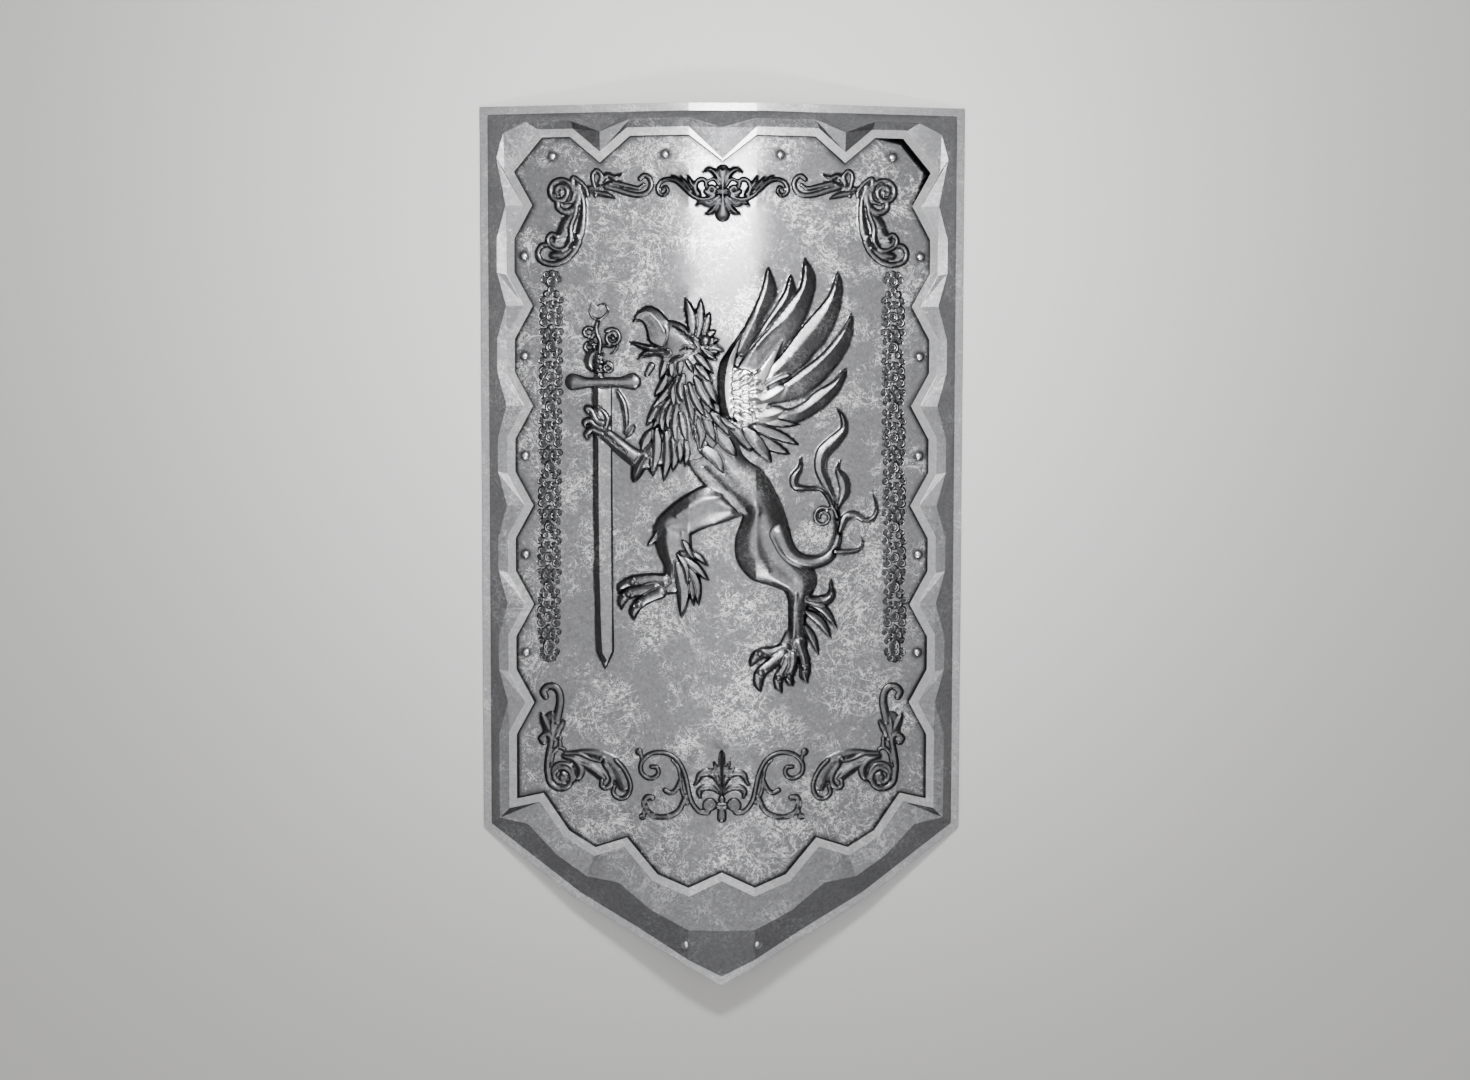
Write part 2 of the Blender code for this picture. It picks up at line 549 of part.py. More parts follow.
def crown_half():
    arm = [(-0.6, 88.5), (3.5, 87.1), (8.8, 89.8), (12.6, 92.1), (15.4, 90.2), (13, 88.8)]
    return [
        cord(arm, 0.8, 4.4), leaf([(0.6, 91), (3.4, 94.4), (5.4, 93.4)], 0.8, 3.8),
        cord([(4.1, 90.4), (5.3, 92), (6.8, 89.6), (6.2, 88.2)], 0.55, 4.0),
        leaf([(0.5, 87.6), (2.9, 84), (4.6, 83.3)], 0.95, 3.8),
        leaf([(0.9, 88), (5.3, 86.4), (7, 85.2)], 0.9, 3.8),
        leaf([(5.7, 88.2), (8.8, 93.3)], 0.8, 4.0), leaf([(7.5, 88.8), (10.5, 93.1)], 0.8, 4.0),
        leaf([(9.3, 90), (12.8, 93.2)], 0.8, 4.0),
        limb([(0, 90), (0, 93.8)], [0.6, 1.5], 4.6), limb([(0, 88), (0, 83.4)], [0.6, 1.6], 4.6),
        cord([(-1.4, 89), (1.4, 89)], 0.6, 5.0),
    ]


def base_half():
    arm = [(2, -66.2), (5.8, -66), (8.6, -60), (11, -53.4), (16.2, -51.3), (20.4, -54.2)]
    arm += [(19, -57.8), (16.1, -56.6)]
    return [
        cord(arm, 0.7, 3.8), cord([(9.2, -62.4), (13.2, -67.4), (18.6, -66.6), (17.6, -62.9)], 0.65, 3.8),
        cord(coil(2.9, -64.5, 1.4, 0.6, 90, -1), 0.5, 3.8),
        cord([(10.4, -58), (13, -61.5), (14.4, -60.9)], 0.55, 3.4),
        bead(21, -51.3, 0.85, 3.6), bead(20.1, -67.8, 0.8, 3.6),
        limb([(0.4, -60), (3.6, -56.2), (6.4, -59)], [0.5, 1.0, 0.6], 3.4, "ridge"),
        limb([(0.4, -61.6), (4.2, -59.9), (5.4, -62.6)], [0.5, 0.9, 0.5], 3.4, "ridge"),
        leaf([(0.2, -57.4), (3.2, -55)], 0.9, 3.6), leaf([(0.2, -55.6), (2.6, -53.2)], 0.9, 3.6),
        limb([(0, -62), (0, -53), (0, -50.2)], [0.5, 1.6, 0.4], 4.0, "ridge"),
        limb([(0, -63), (0, -67.8)], [0.8, 1.0], 4.4),
    ]


def crown_of(share, section):
    """Height across a form, from one at its middle line to nothing at its edge."""
    inside = np.clip(1 - share, 0, 1)
    if section == "round":
        return np.sqrt(np.clip(1 - share ** 2, 0, 1))
    if section == "slab":
        return np.clip(inside / 0.45, 0, 1) ** 0.6
    return (0.42 + 0.58 * inside) * np.clip(inside / 0.12, 0, 1) ** 0.5


class Relief:
    """Height of the carving over the plate, on a square grid."""

    def __init__(self):
        across = HALF - BORDER_SIDE
        self.xs = np.arange(-across, across + RELIEF_PITCH, RELIEF_PITCH)
        self.ys = np.arange(-TOP, TOP + RELIEF_PITCH, RELIEF_PITCH)
        self.height = np.zeros((len(self.ys), len(self.xs)))
        self.depth = np.full(self.height.shape, -1.0)   # how far inside the edge of any form
        self.crests = []                                # middle lines of the forms

    def stroke(self, target, form, blend):
        points, widths, crown, section = form
        path = curve(points)
        run = np.r_[0, np.cumsum(np.hypot(*np.diff(path, axis=0).T))]
        if len(widths) == len(points):
            place = np.linspace(0, len(widths) - 1, len(path))
        else:
            place = run / run[-1] * (len(widths) - 1)
        radii = np.interp(place, np.arange(len(widths)), widths)
        self.crests.append((path, run, crown))
        margin = radii.max() + RELIEF_PITCH
        i0, i1 = np.searchsorted(self.xs, (path[:, 0].min() - margin, path[:, 0].max() + margin))
        j0, j1 = np.searchsorted(self.ys, (path[:, 1].min() - margin, path[:, 1].max() + margin))
        x, y = np.meshgrid(self.xs[i0:i1], self.ys[j0:j1])
        share = np.full(x.shape, 9.0)
        depth = self.depth[j0:j1, i0:i1]
        for a, b, ra, rb in zip(path[:-1], path[1:], radii[:-1], radii[1:]):
            d = b - a
            t = np.clip(((x - a[0]) * d[0] + (y - a[1]) * d[1]) / max(d @ d, 1e-12), 0, 1)
            gap = np.hypot(x - a[0] - t * d[0], y - a[1] - t * d[1])
            radius = np.maximum(ra + (rb - ra) * t, 1e-5)
            share = np.minimum(share, gap / radius)
            depth[:] = np.maximum(depth, radius - gap)
        height = crown_of(share, section) * crown
        window = target[j0:j1, i0:i1]
        if blend:
            window[:] = (window ** 5 + height ** 5) ** 0.2
        else:
            window[:] = np.maximum(window, height)

    def add(self, forms, blend=False):
        layer = np.zeros_like(self.height)
        for form in forms:
            self.stroke(layer, form, blend)
        self.height = np.maximum(self.height, layer)

    def at(self, x, y, field=None):
        """Height, or another of the grid's fields, at any points."""
        fx = np.clip((x - self.xs[0]) / RELIEF_PITCH, 0, len(self.xs) - 1.001)
        fy = np.clip((y - self.ys[0]) / RELIEF_PITCH, 0, len(self.ys) - 1.001)
        i, j = fx.astype(int), fy.astype(int)
        u, v = fx - i, fy - j
        h = self.height if field is None else field
        return (h[j, i] * (1 - u) * (1 - v) + h[j, i + 1] * u * (1 - v)
                + h[j + 1, i] * (1 - u) * v + h[j + 1, i + 1] * u * v)


def carve():
    relief = Relief()
    relief.add(placed(body(), UNIT), blend=True)
    relief.add(placed(sword() + tail() + wing() + claws() + fur() + mane() + foreleg() + head(), UNIT))
    side = HALF - BORDER_SIDE
    top = TOP - BORDER_TOP
    foot = foot_wave(FOOT_OPENING, BORDER_FOOT, FOOT_MIDDLE_OPENING)
    # Each ornament hangs from the opening beside it: the point of its own drawing there, and the place
    relief.add(both_sides(corner_top(), (-52.75, 102.7), (-side, top))
               + both_sides(corner_bottom(), (-52.3, -62.3), (-side, foot[0][1]))
               + both_sides(crown_half(), (0, 102.7), (0, top))
               + both_sides(base_half(), (0, -73), (0, foot[3][1])))
    return relief


def contours(relief):
    """Closed loops along the edge of the forms, traced through the grid's cells."""
    depth = relief.depth
    inside_form = depth > 0
    follow = {}
    where = {}

    def crossing(j, i, down):
        """Name and place of the crossing on the grid line from a point to its right or upper neighbour."""
        name = (j, i, down)
        if name not in where:
            a = depth[j, i]
            b = depth[j + 1, i] if down else depth[j, i + 1]
            t = a / (a - b)
            x = relief.xs[i] + (0 if down else t * RELIEF_PITCH)
            y = relief.ys[j] + (t * RELIEF_PITCH if down else 0)
            where[name] = (x, y)
        return name

    mixed = inside_form[:-1, :-1] * 1 + inside_form[:-1, 1:] + inside_form[1:, :-1] + inside_form[1:, 1:]
    for j, i in np.argwhere((mixed > 0) & (mixed < 4)):
        corners = [inside_form[j, i], inside_form[j, i + 1], inside_form[j + 1, i + 1], inside_form[j + 1, i]]
        lines = [(j, i, False), (j, i + 1, True), (j + 1, i, False), (j, i, True)]
        enter = [lines[k] for k in range(4) if corners[k] and not corners[(k + 1) % 4]]
        leave = [lines[k] for k in range(4) if not corners[k] and corners[(k + 1) % 4]]
        for a, b in zip(enter, leave):
            follow[crossing(*a)] = crossing(*b)
    loops = []
    while follow:
        start = next(iter(follow))
        loop = []
        here = start
        while here in follow:
            loop.append(where[here])
            here = follow.pop(here)
        loops.append(np.array(loop))
    return loops


def area(loop):
    x, y = loop.T
    return abs(np.dot(x, np.roll(y, -1)) - np.dot(y, np.roll(x, -1))) / 2


def thinned(line, tolerance):
    """The fewest points of an open line that keep within a tolerance of it."""
    if len(line) < 3:
        return [line[0]]
    run = line[-1] - line[0]
    length = max(np.hypot(*run), 1e-9)
    off = line - line[0]
    gap = np.abs(off[:, 0] * run[1] - off[:, 1] * run[0]) / length if length > 1e-6 else np.hypot(*off.T)
    k = int(gap.argmax())
    if gap[k] < tolerance:
        return [line[0]]
    return thinned(line[:k + 1], tolerance) + thinned(line[k:], tolerance)


def form_edges(relief):
    """The contours in few points, coarser until they fit the number allowed."""
    loops = [loop for loop in contours(relief) if area(loop) > LEAST_FORM]
    tolerance = RELIEF_PITCH / 5
    while True:
        simple = []
        for loop in loops:
            far = int(np.hypot(*(loop - loop[0]).T).argmax())
            points = thinned(loop[:far + 1], tolerance)
            points += thinned(np.vstack([loop[far:], loop[:1]]), tolerance)
            if len(points) > 2:
                simple.append(np.array(points))
        if sum(len(loop) for loop in simple) <= EDGE_POINTS:
            return simple
        tolerance *= 1.1


# Field plate

def inside(loop, x, y):
    """Whether points lie within a closed loop."""
    result = np.zeros(x.shape, bool)
    for (xa, ya), (xb, yb) in zip(loop, np.roll(loop, -1, axis=0)):
        crosses = (ya > y) != (yb > y)
        at = xa + (y - ya) * (xb - xa) / (yb - ya if yb != ya else 1e-12)
        result ^= crosses & (x < at)
    return result


def rivet_places():
    """Feet of the rivets on the field, then of the two on the band near the tip."""
    side = HALF - BORDER_SIDE - RIVET_INSET
    places = [(across * HALF, TOP - RIVET_DEPTH) for across in RIVET_ACROSS]
    for i in range(1, SIDE_SCALLOPS):
        places.append((side, TOP - (FIRST_SCALLOP + i - 0.5) * pitch_length()))
    field = [(s * x, y) for s in (-1, 1) for x, y in places]
    height = lower_edge(TIP_RIVET_ACROSS) + TIP_RIVET_UP
    band = [(s * TIP_RIVET_ACROSS, height) for s in (-1, 1)]
    return field, band


def ring(x, y, radius, lean, sides=RIVET_SIDES):
    """Points round an axis that leans across the plate."""
    points = []
    for i in range(sides):
        a = 2 * math.pi * (i + 0.5) / sides
        points.append((x + radius * math.cos(a) * math.cos(lean), y + radius * math.sin(a)))
    return points


def side_lean(x):
    """Lean of the side facets at x, in radians, nothing on the middle facet."""
    if abs(x) <= FOLD:
        return 0.0
    return math.copysign(math.atan2(DROP, HALF - FOLD), x)


def split_long(loop, longest):
    """Loop with points added where its sides are long."""
    out = []
    for a, b in zip(loop, np.roll(loop, -1, axis=0)):
        parts = max(1, int(math.ceil(np.hypot(*(b - a)) / longest)))
        out += [a + (b - a) * k / parts for k in range(parts)]
    return np.array(out)


def triangulate(points, edges, outer, holes):
    """Triangles of the points in the outer loop but not in the holes, and each vertex's own point, if any."""
    result = delaunay_2d_cdt([Vector(p) for p in points], edges, [], 0, 1e-7)
    verts = np.array([tuple(v) for v in result[0]])
    faces = np.array([f for f in result[2]])
    source = np.array([min(origin, default=-1) for origin in result[3]])
    middle = verts[faces].mean(1)
    keep = inside(outer, middle[:, 0], middle[:, 1])
    for hole in holes:
        keep &= ~inside(np.array(hole), middle[:, 0], middle[:, 1])
    return verts, faces[keep], source


def worst_points(verts, z, faces, relief, count):
    """Grid points of the carving that a triangulation misses by the most, one for each triangle."""
    found = []
    for a, b, c in faces:
        pa, pb, pc = verts[a], verts[b], verts[c]
        i0, i1 = np.searchsorted(relief.xs, (min(pa[0], pb[0], pc[0]), max(pa[0], pb[0], pc[0])))
        j0, j1 = np.searchsorted(relief.ys, (min(pa[1], pb[1], pc[1]), max(pa[1], pb[1], pc[1])))
        if i1 <= i0 or j1 <= j0:
            continue
        real = relief.height[j0:j1, i0:i1]
        weight = np.clip(relief.depth[j0:j1, i0:i1] / EDGE_SOFTNESS - 0.3, 0, 1)
        if not weight.any():
            continue
        x, y = np.meshgrid(relief.xs[i0:i1], relief.ys[j0:j1])
        area = (pb[0] - pa[0]) * (pc[1] - pa[1]) - (pc[0] - pa[0]) * (pb[1] - pa[1])
        u = ((x - pa[0]) * (pc[1] - pa[1]) - (pc[0] - pa[0]) * (y - pa[1])) / area
        v = ((pb[0] - pa[0]) * (y - pa[1]) - (x - pa[0]) * (pb[1] - pa[1])) / area
        within = (u > 1e-6) & (v > 1e-6) & (u + v < 1 - 1e-6)
        miss = np.abs(z[a] + u * (z[b] - z[a]) + v * (z[c] - z[a]) - real) * within * weight
        k = int(miss.argmax())
        if miss.flat[k] > 0:
            found.append((miss.flat[k], x.flat[k], y.flat[k]))
    found.sort(reverse=True)
    return [(x, y) for miss, x, y in found[:count]]


def add_ridges(points, edges, relief):
    """Points along the middle lines of the forms, joined where nothing higher covers them."""
    for path, run, crown in relief.crests:
        count = max(2, int(round(run[-1] / RIDGE_STEP)) + 1)
        place = np.linspace(0.04, 0.96, count) * run[-1]
        x, y = (np.interp(place, run, path[:, k]) for k in (0, 1))
        depth = relief.at(x, y, relief.depth)
        shown = (depth > RIDGE_DEPTH) & (relief.at(x, y) < crown + COVERED)
        last = None
        for k in range(count):
            if not shown[k]:
                last = None
                continue
            points.append((x[k], y[k]))
            if last is not None:
                edges.append((last, len(points) - 1))
            last = len(points) - 1


def add_loop(points, edges, loop):
    start = len(points)
    points += loop
    edges += [(start + i, start + (i + 1) % len(loop)) for i in range(len(loop))]


def build_plate(material):
    opening = whole(opening_half())
    outer = split_long(offset(opening, -FIT_GAP), LONGEST_SIDE)
    field = rivet_places()[0]
    holes = []
    for x, y in field:
        lean = side_lean(x)
        holes.append(ring(x - math.tan(lean) * PLATE_SHEET / 2, y, SHANK_RADIUS + HOLE_GAP, lean))
    relief = carve()
    points = [tuple(p) for p in outer]
    edges = [(i, (i + 1) % len(points)) for i in range(len(points))]
    for loop in holes:
        add_loop(points, edges, loop)
    folds = []
    for side in (-FOLD, FOLD):
        on_fold = [i for i in range(len(outer)) if abs(outer[i][0] - side) < 1e-7]
        ends = sorted(on_fold, key=lambda i: outer[i][1])
        folds.append((side, ends[0], ends[-1]))
    plain = len(points)
    back_edges = edges + [(low_end, high_end) for side, low_end, high_end in folds]
    for x, y in field:
        add_loop(points, edges, ring(x, y, SEAT_SHARE * RIVET_RADIUS, side_lean(x), SEAT_SIDES))
    for loop in form_edges(relief):
        add_loop(points, edges, [tuple(p) for p in loop])
    level = len(points)
    for side, low_end, high_end in folds:
        heights = np.arange(outer[low_end][1] + FOLD_STEP, outer[high_end][1] - FOLD_STEP / 2, FOLD_STEP)
        carved = heights[relief.at(np.full(len(heights), side), heights, relief.depth) > EDGE_SOFTNESS]
        chain = [low_end] + list(range(len(points), len(points) + len(carved))) + [high_end]
        points += [(side, y) for y in carved]
        edges += list(zip(chain[:-1], chain[1:]))
    fixed = len(points)
    add_ridges(points, edges, relief)
    while True:
        verts, faces, source = triangulate(points, edges, outer, holes)
        # Everything on an edge of a form, a hole or a seat lies in the plate's own face
        own = (source < 0) | (source >= level)
        deep = relief.at(verts[:, 0], verts[:, 1], relief.depth) > RIDGE_DEPTH
        z = relief.at(verts[:, 0], verts[:, 1]) * (own & deep)
        room = RELIEF_POINTS - (len(points) - fixed)
        if room <= 0:
            break
        added = worst_points(verts, z, faces, relief, min(room, RELIEF_POINTS // 8))
        if not added:
            break
        points += added
    upper = datum(verts[:, 0]) + PLATE_LEVEL + z
    bm = bmesh.new()
    top = [bm.verts.new((x, y, z)) for (x, y), z in zip(verts, upper)]
    for a, b, c in faces:
        bm.faces.new((top[a], top[b], top[c]))
    back_verts, back_faces, source = triangulate(points[:plain], back_edges, outer, holes)
    back = [bm.verts.new((x, y, datum(x) + PLATE_BACK)) for x, y in back_verts]
    for a, b, c in back_faces:
        bm.faces.new((back[c], back[b], back[a]))
    used = {v for f in bm.faces for v in f.verts}
    for v in [v for v in bm.verts if v not in used]:
        bm.verts.remove(v)
    bm.edges.ensure_lookup_table()
    place = {}
    for edge in [e for e in bm.edges if e.is_boundary]:
        key = frozenset((round(v.co.x, 7), round(v.co.y, 7)) for v in edge.verts)
        place.setdefault(key, []).append(edge)
    for pair in place.values():
        if len(pair) == 2:
            bmesh.ops.bridge_loops(bm, edges=pair)
    bmesh.ops.triangulate(bm, faces=bm.faces)
    return add_object("field_plate", bm, material)


# Rivets

def rivet_mesh(grip_length):
    """A domed rivet with its shank and flat tail; its origin is the middle of the dome's seat."""
    dome_steps = 2
    profile = [(0.0, RIVET_DOME)]
    for k in range(1, dome_steps + 1):
        a = math.pi / 2 * k / dome_steps
        profile.append((RIVET_RADIUS * math.sin(a), RIVET_DOME * math.cos(a)))
    profile += [(SHANK_RADIUS, 0.0), (SHANK_RADIUS, -grip_length), (TAIL_RADIUS, -grip_length),
                (TAIL_RADIUS, -grip_length - TAIL_HEIGHT), (0.0, -grip_length - TAIL_HEIGHT)]
    bm = bmesh.new()
    rings = []
    for radius, z in profile:
        if radius == 0:
            rings.append([bm.verts.new((0, 0, z))] * RIVET_SIDES)
            continue
        rings.append([bm.verts.new((radius * math.cos(a), radius * math.sin(a), z))
                      for a in (2 * math.pi * (i + 0.5) / RIVET_SIDES for i in range(RIVET_SIDES))])
    for above, below in zip(rings[:-1], rings[1:]):
        for i in range(RIVET_SIDES):
            j = (i + 1) % RIVET_SIDES
            corners = []
            for v in (above[i], below[i], below[j], above[j]):
                if v not in corners:
                    corners.append(v)
            bm.faces.new(corners)
    return bm


def field_seat(x, y):
    """Place of a rivet on the field: its seat and the facet's own lean."""
    z = float(datum(x)) + PLATE_LEVEL + SEAT_GAP
    return Matrix.Translation((x, y, z)) @ Matrix.Rotation(side_lean(x), 4, "Y")


def place_rivets(material):
    field, band = rivet_places()
    field_grip = PLATE_LEVEL - (FLANGE_LEVEL - FLANGE_SHEET) + 2 * SEAT_GAP
    band_grip = SHEET + 2 * SEAT_GAP
    groups = (("field_rivet_", 2, field, field_grip, field_seat),
              ("tip_rivet_", 1, band, band_grip, band_seat))
    for prefix, digits, places, length, seat in groups:
        first = None
        for number, (x, y) in enumerate(places, 1):
            name = prefix + str(number).zfill(digits)
            if first is None:
                first = add_object(name, rivet_mesh(length), material, smooth=True)
                rivet = first
            else:
                rivet = bpy.data.objects.new(name, first.data)
                bpy.context.scene.collection.objects.link(rivet)
            rivet.matrix_world = seat(x, y)


def band_seat(x, y):
    """Place of a rivet on the sloping band near the tip: its seat and the band's own normal."""
    outline = whole(outline_half())
    crest = raised(whole(crest_half()), CREST_LEVEL)
    lip = raised(offset(outline, -LIP_WIDTH), LIP_LEVEL)
    count = len(crest)
    tip = count // 2
    side = -1 if x > 0 else 1
    i, j = tip + 2 * side, tip + side
    a, b, c = Vector(lip[i]), Vector(lip[j]), Vector(crest[j])
    normal = (b - a).cross(c - a).normalized()
    if normal.z < 0:
        normal = -normal
    z = a.z - (normal.x * (x - a.x) + normal.y * (y - a.y)) / normal.z
    turn = Vector((0, 0, 1)).rotation_difference(normal).to_matrix().to_4x4()
    return Matrix.Translation(Vector((x, y, z)) + normal * SEAT_GAP) @ turn


def drill(rim):
    """Bores of the rivets through the rim's flange and band."""
    field, band = rivet_places()
    seats = [field_seat(x, y) for x, y in field] + [band_seat(x, y) for x, y in band]
    bm = bmesh.new()
    for seat in seats:
        radius = SHANK_RADIUS + HOLE_GAP
        bmesh.ops.create_cone(bm, cap_ends=True, segments=RIVET_SIDES, radius1=radius, radius2=radius,
                              depth=6 * SHEET, matrix=seat @ Matrix.Rotation(math.pi / RIVET_SIDES, 4, "Z"))
    mesh = bpy.data.meshes.new("bores")
    bm.to_mesh(mesh)
    bm.free()
    cutter = bpy.data.objects.new("bores", mesh)
    bpy.context.scene.collection.objects.link(cutter)
    cutter.hide_render = True
    cutter.display_type = "WIRE"
    bores = rim.modifiers.new("bores", "BOOLEAN")
    bores.operation = "DIFFERENCE"
    bores.solver = "EXACT"
    bores.object = cutter


# Grip

def build_grip(material):
    """A bow of round bar, flattened to a pad at each end, along the middle of the back."""
    back = DROP + PLATE_BACK - FIT_GAP
    pad = back - PAD_SHEET / 2
    bar = back + FIT_GAP - GRIP_CLEAR - GRIP_RADIUS
    half = GRIP_SPAN / 2
    drop = pad - bar
    # Share of the half span, height, half width, half thickness, squareness of the section
    rows = [
        (1.00, pad, 0.7 * PAD_HALF_WIDTH, PAD_SHEET / 2, 0.5),
        (0.95, pad, PAD_HALF_WIDTH, PAD_SHEET / 2, 0.5),
        (0.72, pad, PAD_HALF_WIDTH, PAD_SHEET / 2, 0.5),
        (0.64, pad - 0.05 * drop, 0.8 * PAD_HALF_WIDTH, 0.73 * PAD_SHEET, 0.7),
        (0.58, pad - 0.2 * drop, 0.9 * GRIP_RADIUS, 0.53 * GRIP_RADIUS, 0.9),
        (0.54, pad - 0.6 * drop, 0.8 * GRIP_RADIUS, 0.7 * GRIP_RADIUS, 1.0),
        (0.46, pad - 0.9 * drop, 0.85 * GRIP_RADIUS, 0.88 * GRIP_RADIUS, 1.0),
        (0.36, bar, 0.95 * GRIP_RADIUS, GRIP_RADIUS, 1.0), (0.18, bar, GRIP_RADIUS, GRIP_RADIUS, 1.0),
    ]
    upper = [(share * half, z, w, t, p) for share, z, w, t, p in rows]
    spine = upper + [(-y, z, w, t, p) for y, z, w, t, p in upper[::-1]]
    sides = 14
    bm = bmesh.new()
    loops = []
    for k, (y, z, wide, thick, power) in enumerate(spine):
        ya, za = spine[max(k - 1, 0)][:2]
        yb, zb = spine[min(k + 1, len(spine) - 1)][:2]
        run = Vector((0, yb - ya, zb - za)).normalized()
        up = Vector((0, -run.z, run.y))
        if up.z < 0 or (abs(up.z) < 1e-6 and up.y < 0):
            up = -up
        loop = []
        for i in range(sides):
            a = 2 * math.pi * i / sides
            c, s = math.cos(a), math.sin(a)
            x = wide * math.copysign(abs(c) ** power, c)
            h = thick * math.copysign(abs(s) ** power, s)
            loop.append(bm.verts.new(Vector((x, y, z)) + up * h))
        loops.append(loop)
    for a, b in zip(loops[:-1], loops[1:]):
        for i in range(sides):
            j = (i + 1) % sides
            bm.faces.new((a[i], a[j], b[j], b[i]))
    bm.faces.new(loops[0])
    bm.faces.new(loops[-1][::-1])
    return add_object("grip", bm, material, smooth=True)


def main():
    for obj in list(bpy.data.objects):
        bpy.data.objects.remove(obj, do_unlink=True)
    rim = build_rim(steel("rim_pressed_steel", (0.23, 0.23, 0.235), 0.42))
    drill(rim)
    build_plate(steel("field_embossed_steel", (0.36, 0.36, 0.365), 0.38))
    place_rivets(steel("rivet_steel", (0.42, 0.42, 0.42), 0.30))
    build_grip(steel("grip_forged_steel", (0.16, 0.16, 0.165), 0.50))


main()
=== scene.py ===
import math

import bmesh
import bpy
import numpy as np
from mathutils import Matrix, Vector
from mathutils.geometry import delaunay_2d_cdt


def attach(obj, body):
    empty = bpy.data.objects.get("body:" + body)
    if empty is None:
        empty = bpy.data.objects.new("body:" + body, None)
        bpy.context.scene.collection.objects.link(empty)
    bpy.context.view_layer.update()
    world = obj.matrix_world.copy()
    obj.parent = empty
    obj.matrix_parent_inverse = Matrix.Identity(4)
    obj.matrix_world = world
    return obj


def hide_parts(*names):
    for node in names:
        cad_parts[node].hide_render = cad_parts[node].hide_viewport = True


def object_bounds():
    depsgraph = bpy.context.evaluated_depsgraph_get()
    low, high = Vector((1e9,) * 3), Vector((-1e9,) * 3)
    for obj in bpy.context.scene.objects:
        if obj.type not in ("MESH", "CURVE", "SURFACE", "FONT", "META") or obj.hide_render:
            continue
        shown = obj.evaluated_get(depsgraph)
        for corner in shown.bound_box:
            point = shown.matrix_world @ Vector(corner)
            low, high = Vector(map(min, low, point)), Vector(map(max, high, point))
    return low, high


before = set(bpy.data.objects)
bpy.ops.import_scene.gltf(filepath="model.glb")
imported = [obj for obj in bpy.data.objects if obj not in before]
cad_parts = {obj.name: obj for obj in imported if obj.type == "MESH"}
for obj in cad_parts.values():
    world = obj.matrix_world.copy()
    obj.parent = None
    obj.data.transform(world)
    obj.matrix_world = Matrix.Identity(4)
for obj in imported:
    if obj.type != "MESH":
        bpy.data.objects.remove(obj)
cad_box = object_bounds()

# The shield lies on its back: X to the right, Y to the top edge, Z out of the front. Metres.
# Overall sizes come from the frame; the rest are the sizes that the solids were drawn with.
HALF = (cad_box[1][0] - cad_box[0][0]) / 2
TOP = (cad_box[1][1] - cad_box[0][1]) / 2
SIDE_LENGTH = 0.914         # of the straight sides
SIDE_END = TOP - SIDE_LENGTH
POINT = SIDE_END + TOP      # height of the pointed foot
FOLD = 0.042                # half width of the flat middle facet
DROP = 0.0475               # fall of the side facets
LIP_WIDTH = 0.010
EDGE_WIDTH = 0.004          # of the turned-back edge under the lip
LIP_LEVEL = 0.004           # levels are heights over the folded surface
CREST_LEVEL = 0.017
STRIP_LEVEL = 0.012
STRIP_WIDTH = 0.010
SHEET = 0.002               # thickness of the frame's sheet, and of the wall round its opening
WALL = 0.0015
FLANGE_LEVEL = 0.0027       # front and back of the flange, and how far it reaches inwards
FLANGE_BACK = 0.0012
FLANGE_REACH = 0.010
PLATE_LEVEL = 0.0045        # front and back of the plate
PLATE_BACK = 0.0030
FIT_GAP = 0.0003
BORDER_TOP = 0.0405         # of the opening: in from the top, the sides and the lower edge
BORDER_SIDE = 0.044
BORDER_FOOT = 0.083
SCALLOP_TOP = 0.032         # how far the scallop points reach into the opening
SCALLOP_SIDE = 0.023
SIDE_SCALLOPS = 6
PITCH = 0.137 * (TOP - SIDE_END)            # from one scallop to the next
FIRST_SCALLOP = 0.988       # of the uppermost, down from the top, in those steps
LAST_BAY = 0.040            # height over the end of the sides at which the opening's last bay ends
CHAMFER = (0.0354, 0.0418)  # width and drop of the opening's upper corners
CREST_TOP = 0.0205          # of the crest: in from the top, the sides and the lower edge
CREST_SIDE = 0.022
CREST_FOOT = 0.0405
CREST_WAVES = (0.012, 0.0145, 0.0115)       # its points at the top centre, beside it and on the sides
CREST_LAST_BAY = 0.0155
CREST_CORNER = ((0.037, 0.001), (0.009, 0.014), (0.0, 0.045))       # in from its side, down from its top
OUTLINE_CORNER = (0.0305, 0.062)            # points of the outer edge beside the upper corner
TOP_PEAK = 0.500            # place of the scallop in the top edge and half its width, shares of HALF
TOP_PEAK_HALF = 0.123
STRIP_PINCH = 0.003         # how far the inner strip is raised at the top centre
# Points over the lower edge: share of HALF across, and height as a multiple of the border there
FOOT_OPENING = ((0.744, 1.277), (0.636, 1.0), (0.526, 1.006), (0.393, 1.453), (0.266, 1.166))
FOOT_CREST = ((0.807, 1.272), (0.687, 1.0), (0.561, 1.0), (0.426, 1.417), (0.292, 1.165))
FOOT_FOLD = 1.247           # the same multiple at the fold, and at the middle for opening and crest
FOOT_MIDDLES = (1.771, 1.815)
KINK = (0.607 * HALF, -TOP + 0.544 * POINT)         # where the lower edge bends
CORNER_TO_KINK = (0.286, 0.635)             # further points on its two runs, as shares of each
KINK_TO_TIP = (0.164, 0.41)
RIVET_INSET = 0.0115        # side rivets, in from the opening; top rivets, down and across (of HALF)
RIVET_DEPTH = 0.063
RIVET_ACROSS = (0.698, 0.235)
TIP_RIVET = (0.0458, 0.0275)        # across, and over the lower edge
DOME = (0.0057, 0.0034)     # radius and height of a rivet's head
SHANK = 0.0025
